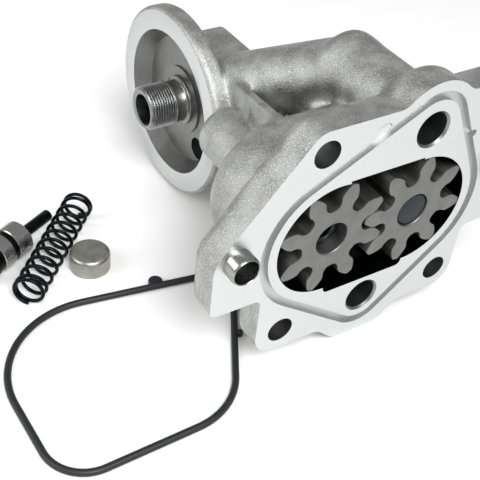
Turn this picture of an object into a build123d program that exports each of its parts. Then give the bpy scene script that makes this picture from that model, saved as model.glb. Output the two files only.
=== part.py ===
from build123d import *
import math
import os

# Gear oil pump with a built-on filter head, and its relief valve set and seal laid out beside it.
# Millimetres. The origin is on the drive gear's axis in the machined mounting face.
# X runs from the drive gear to the idler gear, +Y goes into the housing, +Z is up.

# Gear pair
GEAR_CENTRES = 46.0
TEETH = 8
PRESSURE_ANGLE = 20.0
ADDENDUM = 5.7
DEDENDUM = 7.0
CUTTER_CORNER = 1.7
FLANK_CLEARANCE = 0.12
MESH_ANGLE = 7.2
END_CLEARANCE = 0.1
TIP_CLEARANCE = 0.35
GEAR_BORE_CHAMFER = 0.6

# Shafts
DRIVE_SHAFT_RADIUS = 8.3
DRIVE_SHAFT_RECESS = 7.0
DRIVE_SHAFT_LENGTH = 72.0
HEX_ACROSS_FLATS = 9.5
HEX_DEPTH = 22.0
HEX_LEAD_IN = 0.7
BUSH_WALL = 1.7
BUSH_LENGTH = 30.0
RUNNING_CLEARANCE = 0.04
IDLER_SHAFT_RADIUS = 8.6
IDLER_SHAFT_RECESS = 0.9
IDLER_SHAFT_SEAT = 12.0
SHAFT_END_CHAMFER = 0.8

# Gear casing
CHAMBER_DEPTH = 40.0
CASING_WALL = 6.4
CASING_END_WALL = 15.0
CASING_SHOULDER = 14.0
POCKET_TOP = 30.0
POCKET_TOP_INSET = 4.5
POCKET_TOP_INSET_RIGHT = 1.125
POCKET_BOTTOM = -32.5
POCKET_BOTTOM_CORNER = 3.0
BEARING_BOSS_RADIUS = 13.8
BEARING_BOSS_END = 91.0
BEARING_BOSS_DOME = 8.0

# Mounting flange
FLANGE_THICKNESS = 19.0
FLANGE_BACK_ROUND = 7.5
FLANGE_TOP = 59.5
FLANGE_LEFT = -60.7
FLANGE_RIGHT = 110.2
FLANGE_FOOT_LEFT = -34.7
FLANGE_FOOT_RIGHT = 82.6
FLANGE_FOOT_BOTTOM = -57.8
EAR_BOTTOM = -21.7
EAR_SHOULDER = 7.3
EAR_SHOULDER_ROUND = 15.0
EAR_BOTTOM_ROUND = 3.5
NOTCH_ROUND = 3.5
TOP_LEFT_CORNER = -15.9
TOP_LEFT_ROUND = 9.0
TOP_RIGHT_CORNER = 93.0
TOP_RIGHT_ROUND = 12.0
FOOT_ROUND = 11.5
LOBE_SLOPE = 42.0
LOBE_BLEND = 8.0
DELIVERY_LOBE_RADIUS = 23.7
SUCTION_LOBE_RADIUS = 24.5

# Bolt holes, dowels and ports in the face
BOLT_HOLE_RADIUS = 6.6
SPOT_FACE_RADIUS = 10.5
SPOT_FACE_DEPTH = 0.8
BOLT_HEAD_ROOM = 14.0
BOLT_HOLES = {
    "top_left": (-11.4, 48.3),
    "top_right": (84.0, 45.5),
    "bottom_left": (-21.3, -46.1),
    "bottom_right": (71.3, -45.1),
}
DOWEL_RADIUS = 7.0
DOWEL_BORE_RADIUS = 5.9
DOWEL_LENGTH = 15.0
DOWEL_STAND_OUT = 7.5
DOWEL_TAPER_LENGTH = 1.6
DOWEL_TAPER = 0.55
DOWEL_PRESS_STEP = 0.15
DOWEL_LEAD = 0.3
DOWEL_LEFT = (-49.5, 6.2)
DOWEL_RIGHT = (98.9, 6.2)
PORT_RADIUS = 8.2
PORT_CHAMFER = 1.0
DELIVERY_PORT = (45.5, 44.3)
SUCTION_PORT = (25.3, -44.3)
SUCTION_CHAMBER_END = 50.0
SUCTION_FOOT_FLAT = 1.2
SUCTION_PORT_DEPTH = 36.0
SUCTION_PASSAGE_START = 13.0
SUCTION_PASSAGE_END = 34.0
SUCTION_PASSAGE_OVERLAP = 4.0

# Seal groove: a belt round four circles, (x, z, radius of the groove's centre line)
GROOVE_WIDTH = 4.2
GROOVE_DEPTH = 3.0
GROOVE_BELT = [
    (0.0, 0.0, 35.65),
    (45.5, 44.3, 16.7),
    (46.0, 0.0, 35.9),
    (25.3, -44.3, 14.95),
]
GROOVE_TABS = [(0, 0.634, 4.0), (1, 0.49, 1.9)]
GROOVE_TAB_OFFSET = 2.6

# Seal ring, which lies on the ground: (x, y, radius of its centre line)
SEAL_THICKNESS = 3.4
SEAL_SIDE_CLEARANCE = (GROOVE_WIDTH - SEAL_THICKNESS) / 2
SEAL_BELT = [
    (-92.2, 30.7, 45.0),
    (-27.0, 52.7, 12.9),
    (-73.3, 16.9, 34.6),
    (-117.2, 1.6, 19.6),
]

# Delivery tube, cross pipe and filter head
TUBE_WALL = 7.6
TUBE_END = 67.0
TUBE_END_ROUND = 6.0
PIPE_RADIUS = 14.6
PIPE_HEAD_RADIUS = 18.5
PIPE_HEAD_SHARE = 0.28
PIPE_BORE_RADIUS = 7.0
PIPE_BORE_INSET = 9.5
PIPE_END_DEPTH = 57.8
FILTER_AXIS_DEPTH = 145.6
FILTER_AXIS_HEIGHT = -14.2
FILTER_RING_PLANE = -1.4
FILTER_RING_OUTER = 49.2
FILTER_RING_INNER = 39.4
FILTER_RIM_RADIUS = 51.5
FILTER_RIM_THICKNESS = 10.2
RECESS_DEPTH = 8.9
RECESS_FLOOR_RADIUS = 34.3
PAD_RADIUS = 18.5
PAD_HEIGHT = 1.0
HEAD_RIGHT = 41.6
HEAD_FRONT = 123.4
HEAD_BACK = 162.7
HEAD_TOP = 16.3
HEAD_BOTTOM = -44.7
HEAD_ROUND = 6.4
RETURN_PORT_RADIUS = 6.2
RETURN_START = (27.0, 39.0, 21.0)
RETURN_BEND = (15.0, 126.7, -35.0)
GALLERY_WALL = 4.8

# Arm that carries the filter head: its left wall in plan, (x, y), and the heights of its floor and web
ARM_START = (-4.0, 45.0)
ARM_CORNER = (14.0, 118.0)
ARM_FLOOR_FRONT = 14.0
ARM_FLOOR_BACK = -8.0
ARM_BOTTOM = -32.0
WEB_TOP_FRONT = 35.7
WEB_TOP_BACK = 10.5
WEB_THICKNESS = 4.5

# Filter nipple, M24 x 1.5
NIPPLE_RADIUS = 12.0
NIPPLE_BORE_RADIUS = 9.0
NIPPLE_STAND_OUT = 15.4
NIPPLE_SEAT = 11.4
NIPPLE_TIP_CHAMFER = 1.3
NIPPLE_COLLAR_RADIUS = 13.5
NIPPLE_COLLAR_LENGTH = 1.5

# Relief valve: bore in the housing, and the loose spool, spring and cup plug
RELIEF_BORE_RADIUS = 9.0
RELIEF_BORE_TOP = 20.0
RELIEF_WALL = 5.0
RELIEF_LINK_INSET = 14.0
RELIEF_MOUTH = -52.0
RELIEF_AXIS = (43.7, 68.6)
PLUG_SEAT_RADIUS = 10.35
PLUG_SEAT_DEPTH = 10.5
RELIEF_PORT_RADIUS = 4.5
RELIEF_PORT_INSET = 1.5
RELIEF_PORT_OFFSET = 5.0
SPOOL_CLEARANCE = 0.04
SPOOL_LANDS = [9.4, 7.5, 8.0]
SPOOL_GROOVE_WIDTH = 3.0
SPOOL_GROOVE_DEPTH = 0.8
SPOOL_STEM_RADIUS = 3.1
SPOOL_STEM_LENGTH = 22.0
SPOOL_EDGE = 0.5
SPRING_RADIUS = 8.1
SPRING_WIRE_RADIUS = 0.95
SPRING_LENGTH = 74.0
SPRING_TURNS = 12.0
SPRING_CLOSED_TURNS = 1.25
SPRING_CLOSED_PITCH = 2.1
PLUG_WALL = 1.5
PLUG_HEIGHT = 10.3
PLUG_ROUND = 2.2

# Where the loose pieces lie on the ground: (x, y) of the near end and heading in degrees
SPRING_PLACE = (-108.5, 86.1, 46.0)
SPOOL_PLACE = (-95.6, 126.4, 27.0)
PLUG_PLACE = (-69.6, 99.0)

# Worked-out sizes
GEAR_LENGTH = CHAMBER_DEPTH - 2 * END_CLEARANCE
DOWEL_SEAT_RADIUS = DOWEL_RADIUS + DOWEL_PRESS_STEP
PITCH_RADIUS = GEAR_CENTRES / 2
TIP_RADIUS = PITCH_RADIUS + ADDENDUM
ROOT_RADIUS = PITCH_RADIUS - DEDENDUM
CHAMBER_RADIUS = TIP_RADIUS + TIP_CLEARANCE
CASING_RADIUS = CHAMBER_RADIUS + CASING_WALL
CASING_END = CHAMBER_DEPTH + CASING_END_WALL
TUBE_RADIUS = PORT_RADIUS + TUBE_WALL
GALLERY_RADIUS = RETURN_PORT_RADIUS + GALLERY_WALL
RELIEF_BARREL_RADIUS = RELIEF_BORE_RADIUS + RELIEF_WALL
RECESS_FLOOR = FILTER_RING_PLANE + RECESS_DEPTH
RIM_BACK = FILTER_RING_PLANE + FILTER_RIM_THICKNESS
BUSH_RADIUS = DRIVE_SHAFT_RADIUS + RUNNING_CLEARANCE + BUSH_WALL
DRIVE_SHAFT_END = DRIVE_SHAFT_RECESS + DRIVE_SHAFT_LENGTH
GROUND = SUCTION_PORT[1] - SUCTION_LOBE_RADIUS + SUCTION_FOOT_FLAT


def into(sketch, start, end):
    """A face-plane sketch (x, z) carried into the housing from depth start to depth end."""
    plane = Plane(origin=(0, start, 0), x_dir=(1, 0, 0), z_dir=(0, -1, 0))
    return extrude(plane * sketch, amount=start - end)


def rod_y(x, z, radius, start, end):
    """A round bar along Y between two depths."""
    return into(Pos(x, z) * Circle(radius), start, end)


def cone_y(x, z, radius_start, radius_end, start, end):
    """A cone along Y that changes radius between two depths."""
    middle = (start + end) / 2
    turned = Rot(-90, 0, 0) * Cone(radius_start, radius_end, end - start)
    return Pos(x, middle, z) * turned


def rod_x(y, z, radius, start, end):
    """A round bar along X."""
    turned = Rot(0, 90, 0) * Cylinder(radius, end - start)
    return Pos((start + end) / 2, y, z) * turned


def slab(x_range, y_range, z_range):
    """A block between the given limits."""
    size = [high - low for low, high in (x_range, y_range, z_range)]
    centre = [(high + low) / 2 for low, high in (x_range, y_range, z_range)]
    return Pos(*centre) * Box(*size)


def rounded_wire(corners):
    """A closed wire through (x, y, radius) corners, each rounded by a tangent arc."""
    edges = []
    arcs = []
    count = len(corners)
    for index, (x, y, radius) in enumerate(corners):
        before = Vector(*corners[index - 1][:2]) - Vector(x, y)
        after = Vector(*corners[(index + 1) % count][:2]) - Vector(x, y)
        before = before.normalized()
        after = after.normalized()
        half = math.radians(before.get_angle(after)) / 2
        reach = radius / math.tan(half)
        bisector = (before + after).normalized()
        middle = Vector(x, y) + bisector * (radius / math.sin(half) - radius)
        arcs.append((Vector(x, y) + before * reach, middle, Vector(x, y) + after * reach))
    for index, (start, middle, end) in enumerate(arcs):
        edges.append(ThreePointArc(start, middle, end))
        edges.append(Line(end, arcs[(index + 1) % count][0]))
    return Wire(edges)


def belt_spans(circles, offset=0.0):
    """Straight spans of a clockwise belt round the circles: (start, end) points and the normal's angle."""
    spans = []
    for index, (x, y, radius) in enumerate(circles):
        next_x, next_y, next_radius = circles[(index + 1) % len(circles)]
        length = math.hypot(next_x - x, next_y - y)
        heading = math.atan2(next_y - y, next_x - x)
        normal = heading + math.acos((radius - next_radius) / length)
        side = Vector(math.cos(normal), math.sin(normal))
        start = Vector(x, y) + side * (radius + offset)
        end = Vector(next_x, next_y) + side * (next_radius + offset)
        spans.append((start, end, normal))
    return spans


def belt_wire(circles, offset=0.0):
    """The closed belt line of straights and arcs round the circles, moved out by offset."""
    spans = belt_spans(circles, offset)
    edges = []
    for index, (start, end, normal) in enumerate(spans):
        following = spans[(index + 1) % len(spans)]
        x, y, radius = circles[(index + 1) % len(circles)]
        turn = (normal - following[2]) % (2 * math.pi)
        middle_angle = normal - turn / 2
        middle = Vector(x, y) + Vector(math.cos(middle_angle), math.sin(middle_angle)) * (radius + offset)
        edges.append(Line(start, end))
        edges.append(ThreePointArc(end, middle, following[0]))
    return Wire(edges)


def tab_circles(circles):
    """Centre and radius of each locating tab's circle, just outside a belt's straight spans."""
    spans = belt_spans(circles)
    tabs = []
    for index, share, radius in GROOVE_TABS:
        start, end, normal = spans[index]
        side = Vector(math.cos(normal), math.sin(normal))
        tabs.append((start + (end - start) * share + side * GROOVE_TAB_OFFSET, radius))
    return tabs


def involute_half_angle(radius):
    """Half the tooth's angle at a radius on its involute flank."""
    pressure = math.radians(PRESSURE_ANGLE)
    base = PITCH_RADIUS * math.cos(pressure)
    local = math.acos(min(1.0, base / radius))
    at_pitch = math.tan(pressure) - pressure
    at_radius = math.tan(local) - local
    return math.pi / (2 * TEETH) + at_pitch - at_radius


def undercut_points():
    """The curve that the rack cutter's rounded tip leaves at the tooth's foot: (radius, half angle)."""
    pressure = math.radians(PRESSURE_ANGLE)
    half_space = math.pi * PITCH_RADIUS / (2 * TEETH)
    corner_depth = DEDENDUM - CUTTER_CORNER
    flank_run = corner_depth * math.tan(pressure) + CUTTER_CORNER / math.cos(pressure)
    corner_x = half_space - flank_run
    points = []
    for step in range(0, 101):
        roll = -1.1 * step / 100
        centre_x = -corner_x + PITCH_RADIUS * (roll + corner_x / PITCH_RADIUS)
        reach = math.hypot(centre_x, corner_depth)
        x = centre_x + CUTTER_CORNER * centre_x / reach
        y = PITCH_RADIUS - corner_depth - CUTTER_CORNER * corner_depth / reach
        turn = roll + corner_x / PITCH_RADIUS
        angle = math.atan2(x, y) - turn
        points.append((math.hypot(x, y), math.pi / TEETH + angle))
    return points


def flank_profile():
    """Tooth half angles from root to tip: the foot curve, then the involute from where they cross."""
    foot = undercut_points()
    pressure = math.radians(PRESSURE_ANGLE)
    base = PITCH_RADIUS * math.cos(pressure)
    lower = []
    for radius, angle in foot:
        if radius > base and angle >= involute_half_angle(radius):
            break
        lower.append((radius, angle))
    join = lower[-1][0]
    upper = []
    for step in range(1, 9):
        radius = join + (TIP_RADIUS - join) * step / 8
        upper.append((radius, involute_half_angle(radius)))
    chosen = [lower[round(part * (len(lower) - 1) / 9)] for part in range(10)]
    return chosen, [chosen[-1]] + upper


def polar(radius, angle):
    """A point from its radius and angle in radians."""
    return Vector(radius * math.cos(angle), radius * math.sin(angle))


def gear_sketch(first_tooth):
    """Spur gear outline with a tooth centred on the angle first_tooth, in degrees."""
    foot, flank = flank_profile()
    edges = []
    pitch_angle = 2 * math.pi / TEETH
    for tooth in range(TEETH):
        centre = math.radians(first_tooth) + tooth * pitch_angle
        thin = FLANK_CLEARANCE / PITCH_RADIUS
        for side in (-1, 1):
            foot_line = [polar(radius, centre + side * (angle - thin)) for radius, angle in foot]
            flank_line = [polar(radius, centre + side * (angle - thin)) for radius, angle in flank]
            edges.append(Spline(*foot_line))
            edges.append(Spline(*flank_line))
        tip_half = flank[-1][1] - thin
        edges.append(ThreePointArc(
            polar(TIP_RADIUS, centre - tip_half), polar(TIP_RADIUS, centre), polar(TIP_RADIUS, centre + tip_half)))
        root_half = foot[0][1] - thin
        edges.append(ThreePointArc(
            polar(foot[0][0], centre + root_half),
            polar(foot[0][0], centre + pitch_angle / 2),
            polar(foot[0][0], centre + pitch_angle - root_half)))
    return make_face(Wire(edges))


def gear(x, first_tooth, bore_radius):
    """One gear of the pair, with its chamfered bore, in its place in the chamber."""
    front = END_CLEARANCE
    body = into(Pos(x, 0) * gear_sketch(first_tooth), front, front + GEAR_LENGTH)
    body -= rod_y(x, 0, bore_radius, front - 1, front + GEAR_LENGTH + 1)
    lead = GEAR_BORE_CHAMFER
    body -= cone_y(x, 0, bore_radius + lead, bore_radius, front, front + lead)
    return body


def drive_gear():
    """The gear that the drive shaft turns."""
    return gear(0, 22.5 + MESH_ANGLE, DRIVE_SHAFT_RADIUS)


def idler_gear():
    """The gear that runs free on its fixed shaft."""
    return gear(GEAR_CENTRES, 180 - MESH_ANGLE, IDLER_SHAFT_RADIUS + RUNNING_CLEARANCE)


def drive_shaft():
    """Drive shaft, set back in the gear, with the hexagon socket that the engine's drive rod enters."""
    start = DRIVE_SHAFT_RECESS
    body = rod_y(0, 0, DRIVE_SHAFT_RADIUS, start, DRIVE_SHAFT_END)
    ends = body.edges().filter_by(GeomType.CIRCLE)
    body = chamfer(ends, SHAFT_END_CHAMFER)
    socket = RegularPolygon(HEX_ACROSS_FLATS / 2, 6, major_radius=False)
    body -= into(socket, start - 1, start + HEX_DEPTH)
    mouth = HEX_ACROSS_FLATS / math.sqrt(3)
    body -= cone_y(0, 0, mouth + HEX_LEAD_IN, mouth, start, start + HEX_LEAD_IN)
    return body


def drive_shaft_bush():
    """Plain bearing bush pressed into the bearing boss."""
    start = CHAMBER_DEPTH + END_CLEARANCE
    end = start + BUSH_LENGTH
    ring = rod_y(0, 0, BUSH_RADIUS, start, end)
    return ring - rod_y(0, 0, DRIVE_SHAFT_RADIUS + RUNNING_CLEARANCE, start - 1, end + 1)


def idler_shaft():
    """Fixed shaft of the idler gear, pressed into the casing's end wall."""
    body = rod_y(GEAR_CENTRES, 0, IDLER_SHAFT_RADIUS, IDLER_SHAFT_RECESS, CHAMBER_DEPTH + IDLER_SHAFT_SEAT)
    return chamfer(body.edges().filter_by(GeomType.CIRCLE), SHAFT_END_CHAMFER)


def lobe_corners(centre, radius, level, side):
    """Three corners that carry an edge at a level round a lobe; side is 1 above and -1 below."""
    slope = math.radians(LOBE_SLOPE)
    x, z = centre
    apex = z + side * radius / math.cos(slope)
    run = abs(apex - level) / math.tan(slope)
    corners = [(x - run, level, LOBE_BLEND), (x, apex, radius), (x + run, level, LOBE_BLEND)]
    return corners if side > 0 else corners[::-1]


def flange_sketch():
    """Outline of the mounting face, clockwise from the left ear."""
    corners = [
        (FLANGE_LEFT, EAR_BOTTOM, EAR_BOTTOM_ROUND),
        (FLANGE_LEFT, EAR_SHOULDER, EAR_SHOULDER_ROUND),
        (TOP_LEFT_CORNER, FLANGE_TOP, TOP_LEFT_ROUND),
        *lobe_corners(DELIVERY_PORT, DELIVERY_LOBE_RADIUS, FLANGE_TOP, 1),
        (TOP_RIGHT_CORNER, FLANGE_TOP, TOP_RIGHT_ROUND),
        (FLANGE_RIGHT, EAR_SHOULDER, EAR_SHOULDER_ROUND),
        (FLANGE_RIGHT, EAR_BOTTOM, EAR_BOTTOM_ROUND),
        (FLANGE_FOOT_RIGHT, EAR_BOTTOM, NOTCH_ROUND),
        (FLANGE_FOOT_RIGHT, FLANGE_FOOT_BOTTOM, FOOT_ROUND),
        *lobe_corners(SUCTION_PORT, SUCTION_LOBE_RADIUS, FLANGE_FOOT_BOTTOM, -1),
        (FLANGE_FOOT_LEFT, FLANGE_FOOT_BOTTOM, FOOT_ROUND),
        (FLANGE_FOOT_LEFT, EAR_BOTTOM, NOTCH_ROUND),
    ]
    return make_face(rounded_wire(corners))


def flange():
    """Mounting flange with its back edge rounded as cast."""
    plate = into(flange_sketch(), 0, FLANGE_THICKNESS)
    back = plate.faces().sort_by(Axis.Y)[-1]
    return fillet(back.edges(), FLANGE_BACK_ROUND)


def casing():
    """Gear casing behind the flange: a long round-ended box with a rounded shoulder."""
    outline = make_hull([
        *Circle(CASING_RADIUS).edges(), *(Pos(GEAR_CENTRES, 0) * Circle(CASING_RADIUS)).edges()])
    body = into(outline, 0, CASING_END)
    back = body.faces().sort_by(Axis.Y)[-1]
    return fillet(back.edges(), CASING_SHOULDER)


def bearing_boss():
    """Domed boss round the drive shaft's bearing."""
    body = rod_y(0, 0, BEARING_BOSS_RADIUS, CHAMBER_DEPTH, BEARING_BOSS_END)
    back = body.faces().sort_by(Axis.Y)[-1]
    return fillet(back.edges(), BEARING_BOSS_DOME)


def suction_chamber():
    """Chamber behind the suction port, with a small flat under it on which the pump stands."""
    x, z = SUCTION_PORT
    body = rod_y(x, z, SUCTION_LOBE_RADIUS, 0, SUCTION_CHAMBER_END)
    back = body.faces().sort_by(Axis.Y)[-1]
    return fillet(back.edges(), TUBE_END_ROUND)


def delivery_tube():
    """Tube behind the delivery port, closed and rounded at the back."""
    x, z = DELIVERY_PORT
    body = rod_y(x, z, TUBE_RADIUS, 0, TUBE_END)
    back = body.faces().sort_by(Axis.Y)[-1]
    return fillet(back.edges(), TUBE_END_ROUND)


def pipe_line():
    """Start and end of the cross pipe's axis, from the filter nipple to the delivery tube."""
    start = Vector(RECESS_FLOOR, FILTER_AXIS_DEPTH, FILTER_AXIS_HEIGHT)
    end = Vector(DELIVERY_PORT[0], PIPE_END_DEPTH, DELIVERY_PORT[1])
    return start, end


def rod_between(start, end, radius):
    """A round bar from one point to another."""
    span = end - start
    plane = Plane(origin=start, z_dir=span.normalized())
    return extrude(plane * Circle(radius), amount=span.length)


def cross_pipe():
    """Cross pipe from the filter head to the delivery tube, wider at the head."""
    head, end = pipe_line()
    start = head + (end - head) * PIPE_HEAD_SHARE
    span = end - start
    plane = Plane(origin=start, z_dir=span.normalized())
    return plane * Pos(0, 0, span.length / 2) * Cone(PIPE_HEAD_RADIUS, PIPE_RADIUS, span.length)


def filter_head():
    """Round filter flange with the block behind it that carries its passages."""
    rim = rod_x(FILTER_AXIS_DEPTH, FILTER_AXIS_HEIGHT, FILTER_RIM_RADIUS, FILTER_RING_PLANE, RIM_BACK)
    rim = fillet(rim.edges().filter_by(GeomType.CIRCLE).sort_by(Axis.X)[-1], FILTER_RIM_THICKNESS / 4)
    rim = chamfer(rim.edges().filter_by(GeomType.CIRCLE).sort_by(Axis.X)[0],
                  FILTER_RIM_RADIUS - FILTER_RING_OUTER)
    block = slab((RIM_BACK - 1, HEAD_RIGHT), (HEAD_FRONT, HEAD_BACK), (HEAD_BOTTOM, HEAD_TOP))
    block = fillet(block.edges().filter_by(Axis.X), HEAD_ROUND)
    return rim + block


def gallery():
    """Cast rib round the passage from the gear chamber to the filter's outer ring."""
    start, bend = Vector(*RETURN_START), Vector(*RETURN_BEND)
    return rod_between(start, bend, GALLERY_RADIUS) + rod_x(bend.Y, bend.Z, GALLERY_RADIUS, RIM_BACK - 1, bend.X)


def arm_part(plan, front, back):
    """A part of the arm: its plan from the arm's bottom up to a top that slopes from front to back."""
    start, end = ARM_START[1], HEAD_FRONT + 1
    side = Plane.YZ * Polygon(
        (start, ARM_BOTTOM), (end, ARM_BOTTOM), (end, back), (start, front), align=None)
    sides = extrude(side, amount=HEAD_RIGHT * 2, both=True)
    outline = make_face(Polyline(*plan, close=True))
    upright = Pos(0, 0, ARM_BOTTOM - 1) * extrude(outline, amount=front + 2 - ARM_BOTTOM)
    return sides & upright


def arm():
    """Arm from the casing to the filter head, with a low web along its floor's left edge."""
    end = HEAD_FRONT + 1
    right = DELIVERY_PORT[0]
    left = [ARM_START, ARM_CORNER, (ARM_CORNER[0], end)]
    plan = [*left, (HEAD_RIGHT, end), (right, PIPE_END_DEPTH), (right, ARM_START[1])]
    inner = [(x + WEB_THICKNESS, y) for x, y in reversed(left)]
    return arm_part(plan, ARM_FLOOR_FRONT, ARM_FLOOR_BACK) + arm_part([*left, *inner], WEB_TOP_FRONT, WEB_TOP_BACK)


def relief_barrel():
    """Upright barrel behind the casing for the relief valve, open below."""
    x, y = RELIEF_AXIS
    top = RELIEF_BORE_TOP + RELIEF_WALL
    body = Pos(x, y, (RELIEF_MOUTH + top) / 2) * Cylinder(RELIEF_BARREL_RADIUS, top - RELIEF_MOUTH)
    sides = (x - RELIEF_BARREL_RADIUS, x + RELIEF_BARREL_RADIUS)
    link = slab(sides, (FLANGE_THICKNESS, y), (RELIEF_MOUTH + RELIEF_LINK_INSET, top))
    return body + link


def chamber_sketch():
    """Opening of the gear chamber with its delivery pocket above and suction pocket below."""
    opening = Circle(CHAMBER_RADIUS) + Pos(GEAR_CENTRES, 0) * Circle(CHAMBER_RADIUS)
    left = POCKET_TOP_INSET
    right = GEAR_CENTRES - POCKET_TOP_INSET_RIGHT
    opening += Pos((left + right) / 2, POCKET_TOP / 2) * Rectangle(right - left, POCKET_TOP)
    lower = Pos(GEAR_CENTRES / 2, POCKET_BOTTOM / 2) * Rectangle(GEAR_CENTRES, -POCKET_BOTTOM)
    corners = lower.vertices().group_by(Axis.Y)[0]
    opening += fillet(corners, POCKET_BOTTOM_CORNER)
    return opening


def face_holes():
    """Bolt holes with spot faces behind the flange, dowel seats and the chamfered ports."""
    cut = Part()
    for x, z in BOLT_HOLES.values():
        cut += rod_y(x, z, BOLT_HOLE_RADIUS, -1, FLANGE_THICKNESS)
        seat = FLANGE_THICKNESS - SPOT_FACE_DEPTH
        cut += rod_y(x, z, SPOT_FACE_RADIUS, seat, FLANGE_THICKNESS + BOLT_HEAD_ROOM)
    for x, z in (DOWEL_LEFT, DOWEL_RIGHT):
        cut += rod_y(x, z, DOWEL_SEAT_RADIUS, -1, DOWEL_LENGTH - DOWEL_STAND_OUT)
        cut += rod_y(x, z, DOWEL_BORE_RADIUS, -1, FLANGE_THICKNESS + 1)
    for (x, z), end in ((DELIVERY_PORT, PIPE_END_DEPTH), (SUCTION_PORT, SUCTION_PORT_DEPTH)):
        cut += rod_y(x, z, PORT_RADIUS, -1, end)
        cut += cone_y(x, z, PORT_RADIUS + PORT_CHAMFER, PORT_RADIUS, 0, PORT_CHAMFER)
    return cut


def groove():
    """Seal groove round the ports and the gear chamber, with its two tab pockets."""
    outer = make_face(belt_wire(GROOVE_BELT, GROOVE_WIDTH / 2))
    inner = make_face(belt_wire(GROOVE_BELT, -GROOVE_WIDTH / 2))
    ring = outer - inner
    for centre, radius in tab_circles(GROOVE_BELT):
        ring += (Pos(centre) * Circle(radius)) - inner
    return into(ring, -1, GROOVE_DEPTH)


def passages():
    """Inner passages: suction up to the chamber, delivery to the filter, and the return bore."""
    x, z = SUCTION_PORT
    low = POCKET_BOTTOM + SUCTION_PASSAGE_OVERLAP
    depths = (SUCTION_PASSAGE_START, SUCTION_PASSAGE_END)
    cut = slab((x - PORT_RADIUS, x + PORT_RADIUS), depths, (z, low))
    source, bend = Vector(*RETURN_START), Vector(*RETURN_BEND)
    cut += rod_between(source, bend, RETURN_PORT_RADIUS)
    cut += rod_x(bend.Y, bend.Z, RETURN_PORT_RADIUS, RECESS_FLOOR - 1, bend.X)
    head, end = pipe_line()
    cut += rod_between(head + Vector(PIPE_BORE_INSET, 0, 0), end, PIPE_BORE_RADIUS)
    return cut


def filter_recess():
    """Conical recess inside the filter's sealing ring, with the nipple's seat bored in a low pad."""
    mid = (FILTER_RING_PLANE + RECESS_FLOOR) / 2
    cone = Pos(mid, FILTER_AXIS_DEPTH, FILTER_AXIS_HEIGHT) * (
        Rot(0, 90, 0) * Cone(FILTER_RING_INNER, RECESS_FLOOR_RADIUS, RECESS_DEPTH))
    pad = rod_x(FILTER_AXIS_DEPTH, FILTER_AXIS_HEIGHT, PAD_RADIUS, RECESS_FLOOR - PAD_HEIGHT, RECESS_FLOOR)
    seat = rod_x(FILTER_AXIS_DEPTH, FILTER_AXIS_HEIGHT, NIPPLE_RADIUS,
                 RECESS_FLOOR - PAD_HEIGHT - 1, RECESS_FLOOR + NIPPLE_SEAT)
    return cone - pad + seat


def relief_cut():
    """Relief valve bore with the cup plug's seat at its mouth and its two ports."""
    x, y = RELIEF_AXIS
    bore = Pos(x, y, (RELIEF_BORE_TOP + RELIEF_MOUTH - 1) / 2) * Cylinder(
        RELIEF_BORE_RADIUS, RELIEF_BORE_TOP - RELIEF_MOUTH + 1)
    seat = Pos(x, y, RELIEF_MOUTH + (PLUG_SEAT_DEPTH - 1) / 2) * Cylinder(PLUG_SEAT_RADIUS, PLUG_SEAT_DEPTH + 1)
    upper_z = RELIEF_BORE_TOP - RELIEF_PORT_RADIUS - RELIEF_PORT_INSET
    lower_z = POCKET_BOTTOM + RELIEF_PORT_RADIUS + RELIEF_PORT_INSET
    port_x = x - RELIEF_PORT_OFFSET
    upper = rod_y(port_x, upper_z, RELIEF_PORT_RADIUS, CHAMBER_DEPTH - 1, y)
    lower = rod_y(port_x, lower_z, RELIEF_PORT_RADIUS, CHAMBER_DEPTH - 1, y)
    return bore + seat + upper + lower


def shaft_seats():
    """Bores for the drive shaft's bush and shaft end, and for the pressed idler shaft."""
    start = CHAMBER_DEPTH - 1
    bush_end = CHAMBER_DEPTH + END_CLEARANCE + BUSH_LENGTH
    cut = rod_y(0, 0, BUSH_RADIUS, start, bush_end)
    cut += rod_y(0, 0, DRIVE_SHAFT_RADIUS + RUNNING_CLEARANCE, start, DRIVE_SHAFT_END + 1)
    cut += rod_y(GEAR_CENTRES, 0, IDLER_SHAFT_RADIUS, start, CHAMBER_DEPTH + IDLER_SHAFT_SEAT)
    return cut


def pump_housing():
    """The one-piece casting with its machined faces, chamber, bores and passages."""
    body = flange() + casing() + bearing_boss() + suction_chamber() + delivery_tube()
    body += cross_pipe() + filter_head() + gallery() + arm() + relief_barrel()
    x, z = SUCTION_PORT
    reach = SUCTION_LOBE_RADIUS
    under = slab((x - reach, x + reach), (-1, SUCTION_CHAMBER_END + 1), (GROUND - SUCTION_FOOT_FLAT - 1, GROUND))
    body -= under
    body -= into(chamber_sketch(), -1, CHAMBER_DEPTH)
    body -= face_holes()
    body -= groove()
    body -= passages()
    body -= filter_recess()
    body -= relief_cut()
    body -= shaft_seats()
    return body


def dowel_sleeve(x, z):
    """Hollow locating dowel with a tapered nose and a slightly thicker end that is pressed into the face."""
    start = -DOWEL_STAND_OUT
    nose = start + DOWEL_TAPER_LENGTH
    body = cone_y(x, z, DOWEL_RADIUS - DOWEL_TAPER, DOWEL_RADIUS, start, nose)
    body += rod_y(x, z, DOWEL_RADIUS, nose, -DOWEL_LEAD)
    body += cone_y(x, z, DOWEL_RADIUS, DOWEL_SEAT_RADIUS, -DOWEL_LEAD, 0)
    body += rod_y(x, z, DOWEL_SEAT_RADIUS, 0, start + DOWEL_LENGTH)
    return body - rod_y(x, z, DOWEL_BORE_RADIUS, start - 1, start + DOWEL_LENGTH + 1)


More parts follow.
